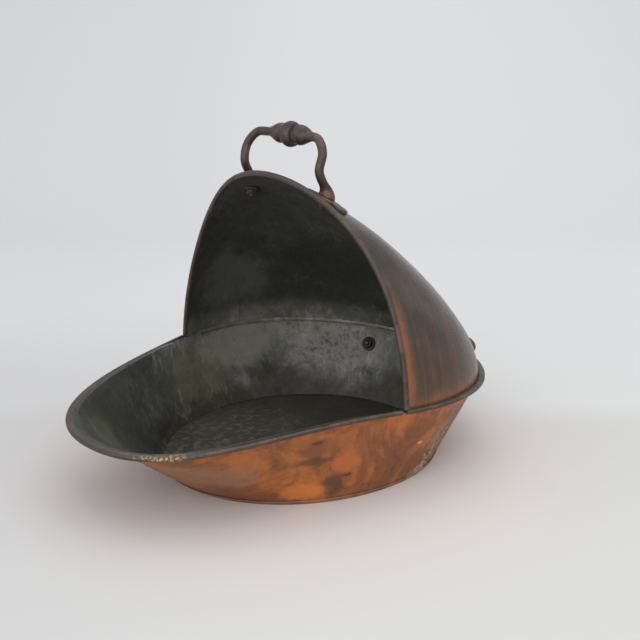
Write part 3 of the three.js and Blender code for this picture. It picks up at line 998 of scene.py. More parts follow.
@dataclass(frozen=True)
class HoodFinish(Finish):
    """Darkened copper with wiped streaks, worn bright beside the arch and above the seam.

    Attributes:
        worn: The bright copper's colour.
        brown: The half-worn copper's colour.
        streaks: Streaks along the ridge and round the arch.
        brown_rise: Heights over the rim between which the brown sets in.
        strip_reach: Distances from the arch between which the worn strip sets in.
        strip_rise: Heights over the rim between which the worn strip sets in.
        foot_rise: Heights over the rim between which the worn foot sets in.
    """

    worn: Colour = srgb(142, 88, 54)
    brown: Colour = srgb(86, 62, 47)
    streaks: Place = (90.0, 9.0, 1.0)
    brown_rise: Span = (120, 10)
    strip_reach: Span = (20, 7)
    strip_rise: Span = (165, 60)
    foot_rise: Span = (36, -4)

    def colour(self, graph: Graph, where: Socket) -> Socket:
        """The patchy colour with the streaks and the worn copper.

        Args:
            graph: The material's graph.
            where: The object coordinates.

        Returns:
            The colour.
        """
        place = graph.add("ShaderNodeUVMap", uv_map="surface").outputs["UV"]
        streak = graph.noise(graph.vector("MULTIPLY", place, self.streaks), 1.0, 5, 0.62)
        rise, reach = graph.mark("rim_rise"), graph.mark("arch_distance")
        wiped = graph.times(graph.ramp(streak, 0.5, 0.78), 0.5)
        colour = graph.mix(wiped, super().colour(graph, where), self.light)
        brown = graph.times(graph.ramp(rise, *self.brown_rise), graph.ramp(streak, 0.3, 0.62))
        colour = graph.mix(brown, colour, self.brown)
        strip, high = graph.ramp(reach, *self.strip_reach), graph.ramp(rise, *self.strip_rise)
        foot = graph.plus(graph.ramp(rise, *self.foot_rise), -0.5)
        worn = graph.maths("MAXIMUM", graph.times(graph.times(strip, high), 0.72), foot)
        worn = graph.plus(worn, graph.times(streak, 0.8))
        wear = graph.ramp(graph.plus(worn, graph.noise(where, 45, 5, 0.65)), 0.85, 1.75)
        return graph.mix(wear, colour, self.worn)


@dataclass(frozen=True)
class InsideFinish(Finish):
    """Tinned copper gone grey, with chalky streaks on the walls, coal dust on the floor, and
    painted shade under the lip and high inside the hood.

    Attributes:
        chalk: The colour of the pale bloom.
        dust: The colour of the coal dust.
        painted_shade: The colour of the shade painted under the lip and inside the hood.
        dust_height: Heights in metres between which the dust sets in.
        lip_place: Places along the object in metres between which the painted shade under the lip
            sets in.
        hood_height: Heights in metres between which the painted shade inside the hood sets in.
    """

    chalk: Colour = srgb(176, 172, 165)
    dust: Colour = srgb(62, 59, 50)
    painted_shade: Colour = srgb(42, 42, 38)
    dust_height: Span = (0.04, 0.012)
    lip_place: Span = (-0.04, -0.12)
    hood_height: Span = (0.104, 0.125)

    def colour(self, graph: Graph, where: Socket) -> Socket:
        """The patchy colour with the bloom, the dust and the painted shade.

        Args:
            graph: The material's graph.
            where: The object coordinates.

        Returns:
            The colour.
        """
        upright = graph.vector("MULTIPLY", where, (1.0, 1.0, 0.35))
        bloom = graph.ramp(graph.noise(upright, 95, 7, 0.75, 0.8), 0.46, 0.72)
        cloud = graph.ramp(graph.noise(where, 14, 4, 0.6), 0.4, 0.62)
        axes = graph.add("ShaderNodeSeparateXYZ", {0: where}).outputs
        pale = graph.times(graph.times(bloom, cloud), 0.75)
        colour = graph.mix(pale, super().colour(graph, where), self.chalk)
        uneven = graph.times(graph.plus(graph.noise(where, 15, 7, 0.7, 0.5), -0.5), 0.14)
        low = graph.ramp(graph.plus(axes["Z"], uneven), *self.dust_height)
        colour = graph.mix(graph.times(low, 0.8), colour, self.dust)
        # Painted shade: darker towards the lip and high inside the hood, where the sheet lies in
        # shade.
        front = graph.ramp(graph.plus(axes["Y"], uneven), *self.lip_place)
        painted_shade = graph.maths("MAXIMUM", front, graph.ramp(axes["Z"], *self.hood_height))
        return graph.mix(graph.times(painted_shade, 0.78), colour, self.painted_shade)


COPPER = BodyFinish(
    "copper_outside",
    base=srgb(132, 80, 47),
    light=srgb(180, 106, 52),
    dark=srgb(88, 60, 44),
    patch=13,
    swirl=2.2,
    metallic=0.28,
    roughness=(0.34, 0.58),
    cover=(0.75, 0.35),
    blots=(
        Blot((62, -185, 40), (75, 50, 22), srgb(152, 112, 88), 0.75),
        Blot((133, -70, 22), (14, 14, 17), srgb(84, 64, 50), 0.85, 0.9, 60),
        Blot((140, -58, 31), (5, 5, 3), srgb(66, 50, 40), 0.9, 0.5, 120),
        Blot((130, -94, 53), (26, 26, 5), srgb(84, 60, 44), 0.7, 1.1, 70),
        Blot((137, -97, 76), (7, 7, 3), srgb(70, 52, 40), 0.8, 0.9, 120),
        Blot((117, -96, 15), (30, 24, 11), srgb(208, 122, 60), 0.8, 0.9, 50),
        Blot((142, -62, 45), (16, 16, 13), srgb(184, 104, 50), 0.8, 0.9, 60),
        Blot((166, 24, 49), (3, 4, 1.6), srgb(206, 186, 160), 0.9, 0.4, 150),
        Blot((149, 40, 4), (14, 18, 7), srgb(156, 148, 118), 0.85, 0.8, 110, 0.75, 300),
        Blot((166, 62, 38), (12, 22, 34), srgb(160, 132, 108), 0.7, 0.9, 80, 0.7, 280),
        Blot((0, 200, 40), (90, 60, 30), srgb(104, 70, 50), 0.6),
    ),
)
HOOD_COPPER = HoodFinish(
    "hood_outside",
    base=srgb(66, 60, 53),
    light=srgb(86, 77, 69),
    dark=srgb(48, 44, 39),
    patch=12,
    metallic=0.3,
    roughness=(0.2, 0.33),
    bump=0.0001,
    cover=(0.4, 0.35),
    blots=(Blot((91, 27, 262), (50, 40, 40), srgb(60, 53, 48), 0.6),),
)
INSIDE = InsideFinish(
    "inside",
    base=srgb(96, 96, 88),
    light=srgb(122, 121, 114),
    dark=srgb(62, 63, 56),
    patch=20,
    metallic=0.12,
    roughness=(0.5, 0.75),
    grain=420,
    bump=0.0004,
    cover=(0.5, 0.6),
    blots=(
        Blot((-100, 165, 62), (75, 60, 34), srgb(158, 154, 148), 0.6, 0.9, 60, 0.8, 150),
        Blot((-160, -5, 50), (40, 50, 34), srgb(112, 114, 84), 0.65),
        # Painted light: a paler patch on the inner wall to the left.
        Blot((-172, 75, 72), (30, 80, 30), srgb(152, 150, 141), 0.6, 0.9, 50),
        Blot((-57, -212, 64), (40, 30, 16), srgb(84, 90, 64), 0.6),
        Blot((-110, -190, 50), (50, 60, 40), srgb(48, 48, 43), 0.6),
        # Painted light and shade inside the hood: paler towards its left side, darker high in the
        # middle.
        Blot((-165, 58, 160), (30, 50, 52), srgb(108, 108, 108), 0.5),
        Blot((-60, 130, 190), (90, 60, 60), srgb(48, 48, 45), 0.7),
        Blot((-80, -60, 2), (70, 80, 12), srgb(124, 118, 92), 0.5, 0.9, 60, 0.5, 130),
        Blot((-75, 34, 2), (60, 40, 12), srgb(126, 120, 88), 0.5, 0.9, 60, 0.4, 130),
    ),
)
BEAD = Finish(
    "bead",
    base=srgb(70, 60, 55),
    light=srgb(90, 76, 67),
    dark=srgb(48, 41, 37),
    patch=34,
    metallic=0.35,
    roughness=(0.32, 0.48),
    bump=0.0002,
    blots=(
        Blot((62, -238, 88), (46, 20, 9), srgb(200, 168, 116), 0.8, 0.5, 60, 0.5, 340),
        Blot((40, -252, 86), (18, 10, 7), srgb(150, 104, 62), 0.7, 0.6, 60, 0.4, 300),
    ),
)
FOLD = Finish(
    "fold",
    base=srgb(76, 71, 62),
    light=srgb(106, 96, 82),
    dark=srgb(54, 46, 40),
    patch=30,
    metallic=0.35,
    roughness=(0.32, 0.5),
    bump=0.0002,
)
IRON = Finish(
    "iron",
    base=srgb(72, 60, 55),
    light=srgb(100, 82, 72),
    dark=srgb(44, 37, 34),
    patch=40,
    metallic=0.45,
    roughness=(0.32, 0.5),
    blots=(
        Blot((57, -6, 300), (13, 13, 6), srgb(124, 82, 62), 0.65, 0.7, 90),
        Blot((-57, -6, 304), (12, 12, 8), srgb(118, 80, 60), 0.6, 0.6, 70),
    ),
)
PLATE_METAL = Finish(
    "plate_metal",
    base=srgb(86, 80, 70),
    light=srgb(112, 102, 88),
    dark=srgb(56, 50, 44),
    patch=46,
    metallic=0.4,
    roughness=(0.4, 0.6),
    blots=(Blot((72, -4, 296), (16, 8, 5), srgb(140, 90, 58), 0.7, 0.6, 90),),
)
RUST = Finish(
    "rusted",
    base=srgb(56, 50, 44),
    light=srgb(84, 72, 60),
    dark=srgb(32, 29, 27),
    patch=60,
    metallic=0.3,
    roughness=(0.55, 0.8),
    bump=0.0006,
)
SOLDER = Finish(
    "solder",
    base=srgb(124, 117, 106),
    light=srgb(158, 148, 130),
    dark=srgb(78, 72, 64),
    patch=60,
    metallic=0.3,
    roughness=(0.45, 0.7),
    bump=0.0008,
)
CRUST = Finish(
    "crust",
    base=srgb(146, 120, 98),
    light=srgb(170, 150, 128),
    dark=srgb(104, 78, 60),
    patch=70,
    metallic=0.1,
    roughness=(0.6, 0.85),
    bump=0.0006,
)
FINISHES = (CRUST, COPPER, HOOD_COPPER, INSIDE, BEAD, FOLD, IRON, PLATE_METAL, RUST, SOLDER)


# ---------------------------------------------------------------- geometry nodes
class Recipe:
    """A geometry-node group with named inputs, applied to a mesh and then made plain."""

    def __init__(self, name: str) -> None:
        """Starts the group.

        Args:
            name: The group's name.
        """
        self.tree = bpy.data.node_groups.new(name, "GeometryNodeTree")
        self.graph = Graph(self.tree)
        make = self.tree.interface.new_socket
        for way in ("INPUT", "OUTPUT"):
            make("Geometry", in_out=way, socket_type="NodeSocketGeometry")
        self.entry = self.tree.nodes.new("NodeGroupInput")
        self.exit = self.tree.nodes.new("NodeGroupOutput")
        self.values: dict[str, object] = {}

    def take(self, name: str, kind: str, value: object) -> Socket:
        """Adds a named input.

        Args:
            name: The input's name.
            kind: The socket's type.
            value: The value it is given.

        Returns:
            The socket inside the group.
        """
        made = self.tree.interface.new_socket(name, in_out="INPUT", socket_type=kind)
        self.values[made.identifier] = value
        return self.entry.outputs[name]

    def value(self, name: str, kind: str = "FLOAT") -> Socket:
        """A value stored under a name on the mesh that the group starts from."""
        node = self.graph.add("GeometryNodeInputNamedAttribute", {"Name": name}, data_type=kind)
        return node.outputs["Attribute"]

    def align(self) -> Socket:
        """The rotation that turns the Z axis to each point's "way"."""
        way = {"Vector": self.value("way", "FLOAT_VECTOR")}
        return self.graph.add("FunctionNodeAlignRotationToVector", way, axis="Z").outputs[0]

    def copies(self, piece: Socket, **inputs: Socket) -> Socket:
        """Sets copies of a piece on the first mesh's points, with Rotation and Scale as inputs."""
        inputs |= {"Points": self.entry.outputs["Geometry"], "Instance": piece}
        return self.graph.add("GeometryNodeInstanceOnPoints", inputs).outputs["Instances"]

    def move(self, geometry: Socket, offset: Socket) -> Socket:
        """Moves the points of a geometry by an offset."""
        inputs = {"Geometry": geometry, "Offset": offset}
        return self.graph.add("GeometryNodeSetPosition", inputs).outputs["Geometry"]

    def shade(self, mesh: Socket) -> Socket:
        """Shades a mesh smooth."""
        return self.graph.add("GeometryNodeSetShadeSmooth", {"Geometry": mesh}).outputs["Geometry"]

    def end(self, geometry: Socket, materials: Sequence[Material]) -> None:
        """Ends the group in real geometry with its materials.

        Args:
            geometry: The finished geometry.
            materials: One material, or one for each value of "skin".
        """
        close = 0.1
        last = self.graph.add("GeometryNodeRealizeInstances", {"Geometry": geometry})
        for number, material in enumerate(materials):
            paint = self.take(f"Material {number}", "NodeSocketMaterial", material)
            inputs = {"Geometry": last.outputs["Geometry"], "Material": paint}
            if len(materials) > 1:
                same = self.graph.maths("COMPARE", self.value("skin"), float(number))
                same.node.inputs[2].default_value = close
                inputs["Selection"] = same
            last = self.graph.add("GeometryNodeSetMaterial", inputs)
        self.tree.links.new(last.outputs["Geometry"], self.exit.inputs["Geometry"])

    def apply(self, name: str, seed: Mesh) -> Object:
        """Runs the group on a mesh and keeps the result as a plain mesh.

        Args:
            name: The object's name.
            seed: The mesh that the group starts from.

        Returns:
            The object.
        """
        obj = show(name, seed)
        modifier = obj.modifiers.new(name, "NODES")
        modifier.node_group = self.tree
        for identifier, value in self.values.items():
            modifier[identifier] = value
        bpy.context.view_layer.update()
        depsgraph = bpy.context.evaluated_depsgraph_get()
        mesh = bpy.data.meshes.new_from_object(obj.evaluated_get(depsgraph))
        obj.modifiers.clear()
        obj.data = mesh
        mesh.name = name
        return obj


def tube(
    name: str,
    bars: Sequence[tuple[Array, Array]],
    material: Material,
    sides: int = 40,
    sharp: float = 40,
) -> Object:
    """Bars of changing thickness along paths, made by geometry nodes.

    Args:
        name: The object's name.
        bars: For each bar its path and the radius at each point, in metres.
        material: The bars' material.
        sides: Faces round a bar.
        sharp: Edges sharper than this many degrees stay sharp.

    Returns:
        The object.
    """
    seed = bpy.data.meshes.new(f"{name}_seed")
    starts = np.cumsum([0] + [len(path) for path, _ in bars])
    edges = [(i, i + 1) for a, b in zip(starts, starts[1:]) for i in range(a, b - 1)]
    seed.from_pydata(np.concatenate([path for path, _ in bars]).tolist(), edges, [])
    store(seed, "thickness", np.concatenate([radius for _, radius in bars]))
    recipe = Recipe(f"{name}_recipe")
    graph = recipe.graph
    around = recipe.take("Sides", "NodeSocketInt", sides)
    line = graph.add("GeometryNodeMeshToCurve", {"Mesh": recipe.entry.outputs["Geometry"]})
    ring = graph.add("GeometryNodeCurvePrimitiveCircle", {"Resolution": around, "Radius": 1.0})
    inputs = {
        "Curve": line.outputs["Curve"],
        "Profile Curve": ring.outputs["Curve"],
        "Scale": recipe.value("thickness"),
        "Fill Caps": True,
    }
    sweep = graph.add("GeometryNodeCurveToMesh", inputs)
    recipe.end(recipe.shade(sweep.outputs["Mesh"]), [material])
    obj = recipe.apply(name, seed)
    obj.data.set_sharp_from_angle(angle=math.radians(sharp))
    return obj


@dataclass(frozen=True)
class HandWork:
    """Swellings and hollows of a sheet that was worked by hand and used for years.

    Attributes:
        depth: Their depth in metres.
        size: How many there are to the metre.
        seed: Moves the pattern.
    """

    depth: float
    size: float
    seed: float

    def apply(self, name: str, mesh: Mesh, materials: Sequence[Material]) -> Object:
        """Dents a sheet along its "way" vectors.

        Args:
            name: The object's name.
            mesh: The sheet's mesh.
            materials: One material for each value of "skin".

        Returns:
            The object.
        """
        recipe = Recipe(f"{name}_recipe")
        graph = recipe.graph
        depth = recipe.take("Depth", "NodeSocketFloat", self.depth)
        size = recipe.take("Size", "NodeSocketFloat", self.size)
        seed = recipe.take("Seed", "NodeSocketFloat", self.seed)
        noise = graph.add(
            "ShaderNodeTexNoise",
            {"W": seed, "Scale": size, "Detail": 2.0, "Roughness": 0.45},
            noise_dimensions="4D",
        )
        swell = graph.times(graph.times(graph.plus(noise.outputs["Fac"], -0.5), 4.0), depth)
        offset = graph.vector("SCALE", recipe.value("way", "FLOAT_VECTOR"), swell)
        recipe.end(recipe.move(recipe.entry.outputs["Geometry"], offset), materials)
        return recipe.apply(name, mesh)


def dress(obj: Object, slot: str, *nodes: str) -> Object:
    """Fixes a piece to the object's one body in place of CAD nodes.

    Args:
        obj: The piece.
        slot: The name of the record's material slot; not used.
        *nodes: The CAD nodes that it stands for.

    Returns:
        The piece.
    """
    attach(obj, ROOT)
    if nodes:
        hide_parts(*nodes)
    return obj


# ---------------------------------------------------------------- copper body
def polar(radius: float, degrees: Array) -> tuple[Array, Array]:
    """The two coordinates of places on an arc, from its radius and their angles."""
    angle = np.radians(degrees)
    return radius * np.cos(angle), radius * np.sin(angle)


def curl(radius: float, sheet: float, angles: Sequence[Array]) -> list[tuple[Array, Array]]:
    """Places round a rolled sheet, out along its outer face and back along its inner one.

    Args:
        radius: The outer face's radius.
        sheet: The sheet's thickness.
        angles: Angles in degrees, in order.

    Returns:
        The two coordinates of each place.
    """
    out = [polar(radius, degrees) for degrees in angles]
    return out + [polar(radius - sheet, degrees) for degrees in angles[::-1]]


@dataclass
class Body:
    """The boat-shaped body with its rim band, rolled lip and folded rear edge.

    Attributes:
        columns: Steps round each side.
        rows: Steps up the wall.
        curl: Angles in degrees at which the lip's roll starts, over the band's slope, and ends.
        curl_steps: Steps round the roll.
        fold_steps: Steps round the rear's fold.
        fullness: The less it is, the nearer the dents come to the rim and the foot.
        work: The wall's dents.
    """

    materials: Materials
    sizes: Sizes = SIZES
    columns: int = 130
    rows: int = 18
    curl: Span = (100, -150)
    curl_steps: int = 24
    fold_steps: int = 10
    fullness: float = 0.7
    work: HandWork = HandWork(depth=0.0011, size=9.0, seed=3.1)

    def section(self, st: Stations) -> tuple[Array, Array, Array]:
        """Closed sections of the wall and its rim band.

        Args:
            st: The stations.

        Returns:
            Points (stations, places, 3), the ways they may be pushed, and the share of the
            wall's height at each.
        """
        s = self.sizes
        foot = s.sheet + s.gap
        shares = np.arange(self.rows + 1) / self.rows
        outer, inner, ways = [], [], []
        for share in shares:
            point, normal = st.wall(foot + (st.top - foot) * share)
            outer.append(point)
            inner.append(point - normal * s.sheet)
            ways.append(normal * abs(math.sin(math.pi * share)) ** self.fullness)
        slope = self.slope(st)
        across = np.stack([np.cos(slope), np.sin(slope)], 1)
        over = np.stack([-across[:, 1], across[:, 0]], 1)
        within = np.stack([-st.up, st.out], 1)
        corner = (within + over) * s.sheet
        corner = corner / (1 + (within * over).sum(1, keepdims=True))
        if st.front:
            bead = np.stack([st.band - s.lip_bead, st.middle - st.top], 1)
            end = bead + over * (s.lip_bead - s.sheet)
        else:
            end = np.stack([st.band, np.zeros(len(st.band))], 1)
        lip = end + over * s.sheet
        half = end / 2
        half_lip = (corner + lip) / 2
        band = [half, end, lip, half_lip, corner]
        ring = outer + [st.at(p[:, 0], st.top + p[:, 1]) for p in band] + inner[-2::-1]
        still = [np.zeros_like(outer[0])] * len(band)
        share = np.concatenate([shares, np.ones(len(band)), shares[-2::-1]])
        level = np.broadcast_to(share, (len(st.band), len(share)))
        return np.stack(ring, 1), np.stack(ways + still + ways[-2::-1], 1), level

    def slope(self, st: Stations) -> Array:
        """Slope of the rim band at each station.

        Args:
            st: The stations.

        Returns:
            Angles in radians.
        """
        if not st.front:
            return np.zeros(len(st.band))
        s = self.sizes
        n, z = st.band - s.lip_bead, st.middle - st.top
        return np.arctan2(z, n) + np.arcsin((s.lip_bead - s.sheet) / np.hypot(n, z))

    def roll(self, st: Stations) -> Array:
        """Sections of the edge rolled down round the lip's wire.

        Args:
            st: The lip's stations.

        Returns:
            Points (stations, places, 3).
        """
        s = self.sizes
        first, last = self.curl[0] + np.degrees(self.slope(st)), self.curl[1]
        shares = np.arange(self.curl_steps + 1) / self.curl_steps
        places = curl(s.lip_bead, s.sheet, [first + (last - first) * share for share in shares])
        return np.stack([st.at(st.band - s.lip_bead + x, st.middle + y) for x, y in places], 1)

    def fold(self, st: Stations) -> Array:
        """Sections of the edge folded up and back over the hood's flange.

        Args:
            st: The rear's stations.

        Returns:
            Points (stations, places, 3).
        """
        s = self.sizes
        half = s.seam_height / 2
        turn = np.linspace(-90, 90, self.fold_steps + 1)
        centre = st.band - half
        tip, heel, soft = 0.6, 0.2, 0.3
        end = ((tip, 2 * half), (heel, 2 * half - soft), (heel, 2 * half - s.sheet))
        ring = [st.at(centre + x, st.top + half + y) for x, y in curl(half, s.sheet, turn)]
        flat = [st.at(np.full(len(centre), n), st.top + z) for n, z in end]
        return np.stack(ring[: len(turn)] + flat + ring[len(turn) :], 1)

    def build(self) -> list[Object]:
        """Builds the body.

        Returns:
            Its objects.
        """
        draft = Draft()
        rear, front = RIM.rear(self.columns), RIM.front(self.columns)
        halves = zip(self.section(rear), self.section(front))
        points, ways, level = (np.concatenate(pair) for pair in halves)
        outside, inside, edge = Skin.OUTSIDE.value, Skin.INSIDE.value, Skin.EDGE.value
        slots = [outside] * self.rows + [edge] * 4 + [inside] * (self.rows + 1) + [outside]
        draft.grid(points, slots, closed=(True, True), ways=ways, marks={"wall_share": level})
        draft.tube(self.roll(front), Skin.EDGE.value)
        draft.tube(self.fold(rear), Skin.FOLD.value)
        skins = [self.materials[n] for n in ("copper_outside", "inside", "bead", "fold")]
        body = self.work.apply("body", draft.mesh("body_seed"), skins)
        return [dress(body, "copper_body", "body_shell")]


@dataclass
class BasePan:
    """The bottom, a shallow pan whose edge clasps the foot of the wall.

    Attributes:
        columns: Steps round each side.
        shares: Places of the rings of the flat part, from the middle to the edge.
        dome: How far the middle stands up.
        work: The pan's dents.
    """

    materials: Materials
    sizes: Sizes = SIZES
    columns: int = 130
    shares: tuple[float, ...] = (0.02, 0.3, 0.6, 0.85, 0.97)
    dome: float = 1.6
    work: HandWork = HandWork(depth=0.0008, size=14.0, seed=9.4)

    def build(self) -> list[Object]:
        """Builds the pan.

        Returns:
            Its objects.
        """
        s = self.sizes
        rear, front = RIM.rear(self.columns), RIM.front(self.columns)
        out, level = s.gap + s.sheet, s.sheet
        corner, soft = 0.5, 0.4
        edge = [(0.0, out - corner), (corner, out), (s.pan_edge - soft, out)]
        edge += [(s.pan_edge, out - soft), (s.pan_edge, s.gap + soft / 2)]
        edge += [(s.pan_edge - soft, s.gap), (level, s.gap)]
        rings, ways = [], []

        def ring(z: float, off: float, share: float = 1) -> None:
            """Adds one ring of points.

            Args:
                z: Its height over the floor.
                off: How far it stands off the wall's face.
                share: Its size as a share of the wall's.
            """
            whole = np.concatenate([st.wall(z, off)[0] for st in (rear, front)])
            middle = np.array([0, s.base_middle_y, z])
            free = 1 - share**2
            rings.append(middle + (whole - middle) * share + (0, 0, self.dome * free))
            ways.append(np.broadcast_to((0.0, 0.0, free), whole.shape))

        for share in self.shares:
            ring(0, out - corner, share)
        for z, off in edge:
            ring(z, off)
        for share in self.shares[::-1]:
            ring(level, s.gap, share)
        draft = Draft()
        below = len(self.shares) + len(edge) - 2
        slots = [Skin.OUTSIDE.value] * below + [Skin.INSIDE.value] * (len(rings) - below)
        points = np.stack(rings, 1)
        first = draft.grid(points, slots, closed=(True, False), ways=np.stack(ways, 1))
        places = points.shape[1]
        for column, slot in ((0, Skin.OUTSIDE.value), (places - 1, Skin.INSIDE.value)):
            draft.cap([first + i * places + column for i in range(points.shape[0])], slot)
        skins = [self.materials[n] for n in ("copper_outside", "inside")]
        pan = self.work.apply("pan", draft.mesh("pan_seed"), skins)
        return [dress(pan, "copper_body", "base_pan")]


@dataclass
class Crust:
    """The corroded, patched strip up the right side of the wall.

    Attributes:
        low: Place along the object and height of its lower end, in millimetres.
        high: The same of its upper end.
        spread: How far its lumps scatter to the sides.
        lift: How far a lump's middle stands off the wall.
        lowest: The least height of a lump's middle.
        size: The smallest lump's half-width, and how much more the largest one has.
        flatness: A lump's height as a share of its width.
        roughness: How uneven the lumps are, in metres.
        grain: Bumps on them to the metre.
        count: How many lumps it has.
        seed: Starts the random draws.
    """

    materials: Materials
    low: Span = (52, 4)
    high: Span = (90, 64)
    spread: float = 4.0
    lift: float = 0.2
    lowest: float = 5.0
    size: Span = (0.8, 2.8)
    flatness: float = 0.8
    roughness: float = 0.0012
    grain: float = 420
    count: int = 150
    seed: int = 5

    def lumps(self) -> Mesh:
        """Draws the lumps' places.

        Returns:
            A mesh of points with the wall's normal and the size of each lump.
        """
        draw = np.random.default_rng(self.seed)
        rear = RIM.rear(220)
        low, high = np.array(self.low), np.array(self.high)
        points, normals, sizes = [], [], []
        for _ in range(self.count):
            share = draw.random() ** 1.5
            y, z = low + (high - low) * share + draw.normal(0, self.spread, 2)
            place, normal = rear.wall(np.full(len(rear.top), max(z, self.lowest)))
            nearest = np.argmin(np.abs(place[:, 1] - y) + 1e3 * (place[:, 0] < 0))
            points.append(place[nearest] + normal[nearest] * self.lift)
            normals.append(normal[nearest])
            sizes.append(self.size[0] + self.size[1] * (1 - share) * draw.random() ** 1.3)
        mesh = dots("crust_seed", np.array(points), np.array(normals))
        store(mesh, "size", np.array(sizes) * MM)
        return mesh

    def build(self) -> list[Object]:
        """Builds the strip.

        Returns:
            Its objects.
        """
        recipe = Recipe("crust_recipe")
        graph = recipe.graph
        flat = recipe.take("Flatness", "NodeSocketFloat", self.flatness)
        rough = recipe.take("Roughness", "NodeSocketFloat", self.roughness)
        size = recipe.value("size")
        height = graph.times(size, flat)
        scale = graph.add("ShaderNodeCombineXYZ", {"X": size, "Y": size, "Z": height})
        ball = graph.add("GeometryNodeMeshIcoSphere", {"Radius": 1.0, "Subdivisions": 3})
        turn = recipe.align()
        lumps = recipe.copies(ball.outputs["Mesh"], Rotation=turn, Scale=scale.outputs[0])
        real = graph.add("GeometryNodeRealizeInstances", {0: lumps}).outputs["Geometry"]
        noise = graph.add("ShaderNodeTexNoise", {"Scale": self.grain, "Detail": 3.0})
        centred = graph.vector("SUBTRACT", noise.outputs["Color"], (0.5, 0.5, 0.5))
        moved = recipe.move(real, graph.vector("SCALE", centred, rough))
        recipe.end(recipe.shade(moved), [self.materials["crust"]])
        return [dress(recipe.apply("crust", self.lumps()), "copper_body")]


# ---------------------------------------------------------------- hood
@dataclass
class Hood:
    """The copper hood with the edge rolled outwards round its arch.

    Attributes:
        rows: Steps from the arch to the rear.
        columns: Steps from foot to foot.
        curl: Angles in degrees between which the arch's edge is rolled.
        curl_steps: Steps round the roll.
        sections: Sections along the roll.
        foot_drop: How far the roll's ends reach below the height of seam, lip roll and gap.
        work: The hood's dents.
    """

    materials: Materials
    sizes: Sizes = SIZES
    rows: int = 90
    columns: int = 150
    curl: Span = (-80, -350)
    curl_steps: int = 26
    sections: int = 181
    foot_drop: float = 2.4
    work: HandWork = HandWork(depth=0.0007, size=11.0, seed=7.7)

    def shell(self, draft: Draft) -> None:
        """Adds the hood's sheet.

        Args:
            draft: The mesh in the making.
        """
        t = (np.arange(self.rows + 1) / self.rows)[:, None]
        v = (np.arange(self.columns + 1) / self.columns)[None, :]
        point, normal = HOOD.point(t, v), HOOD.normal(t, v)
        loose = 0.02
        edge = np.minimum(np.sin(np.pi * v) * 2, 1) * np.sin(np.pi * np.minimum(t + loose, 1))
        inner = point - normal * self.sizes.sheet
        rise = point[..., 2] - RIM.height(point[..., 1])
        arch = np.linalg.norm(point - point[:1], axis=-1)

        def ring(outside: Array, within: Array) -> Array:
            """Joins what is outside with what is inside, back to front."""
            return np.concatenate([outside, within[:, ::-1]], 1)

        marks = {"rim_rise": ring(rise, rise), "arch_distance": ring(arch, arch)}
        free = normal * np.clip(edge, 0, 1)[..., None]
        sheet = self.columns + 1
        slots = [Skin.OUTSIDE.value] * sheet + [Skin.INSIDE.value] * sheet
        points, ways = ring(point, inner), ring(free, free)
        draft.grid(points, slots, closed=(False, True), ways=ways, marks=marks)
        for row in (0, -1):
            draft.grid(np.stack([point[row], inner[row]]), Skin.EDGE.value)

    def roll(self) -> Array:
        """Sections of the edge rolled outwards round the arch's wire.

        Returns:
            Points (stations, places, 3).
        """
        s = self.sizes
        v, still, step = np.linspace(0, 1, self.sections), np.zeros(self.sections), 1e-3
        edge = HOOD.point(still, v)
        ahead = HOOD.point(still, np.minimum(v + step, 1))
        tangent = ahead - HOOD.point(still, np.maximum(v - step, 0))
        away = unit(np.stack([tangent[:, 2], still, -tangent[:, 0]], 1))
        away = np.where((away * edge * (1, 0, 1)).sum(1, keepdims=True) < 0, -away, away)
        lift = s.hood_bead - s.sheet
        places = curl(s.hood_bead, s.sheet, np.linspace(*self.curl, self.curl_steps + 1))
        return np.stack([edge + away * (lift + y) + (0, x, 0) for x, y in places], 1)

    def build(self) -> list[Object]:
        """Builds the hood.

        Returns:
            Its objects.
        """
        draft = Draft()
        self.shell(draft)
        sections = self.roll()
        low = self.sizes.seam_height / 2 + self.sizes.lip_bead + self.sizes.gap
        floor = RIM.height(sections[..., 1]) + low - self.foot_drop
        sections[..., 2] = np.maximum(sections[..., 2], floor)
        draft.tube(sections, Skin.EDGE.value)
        skins = [self.materials[n] for n in ("hood_outside", "inside", "bead")]
        hood = self.work.apply("hood", draft.mesh("hood_seed"), skins)
        return [dress(hood, "copper_hood", "hood_shell")]


# ---------------------------------------------------------------- handles
def catmull(points: Array, count: int) -> Array:
    """A smooth line through points.

    Args:
        points: The points that it passes.
        count: How many points to return.

    Returns:
        The line, evenly spaced.
    """

    def summed(line: Array, power: float = 1) -> Array:
        """Lengths along a line up to each point, each step raised to a power."""
        steps = np.linalg.norm(np.diff(line, axis=0), axis=1) ** power
        return np.concatenate([[0], np.cumsum(steps)])

    per_span = 60
    ends = np.vstack([2 * points[0] - points[1], points, 2 * points[-1] - points[-2]])
    dense = []
    for i in range(1, len(ends) - 2):
        near = ends[i - 1 : i + 3]
        k = summed(near, 0.5)
        levels = ((k[:3], k[1:]), (k[:2], k[2:]), (k[1:2], k[2:3]))
        for t in np.linspace(k[1], k[2], per_span, endpoint=False):
            layers = near
            for low, high in levels:
                share = ((t - low) / (high - low))[:, None]
                layers = layers[:-1] * (1 - share) + layers[1:] * share
            dense.append(layers[0])
    dense.append(points[-1])
    line = np.array(dense)
    reach = summed(line)
    even = np.linspace(0, reach[-1], count)
    return np.stack([np.interp(even, reach, line[:, k]) for k in range(3)], 1)


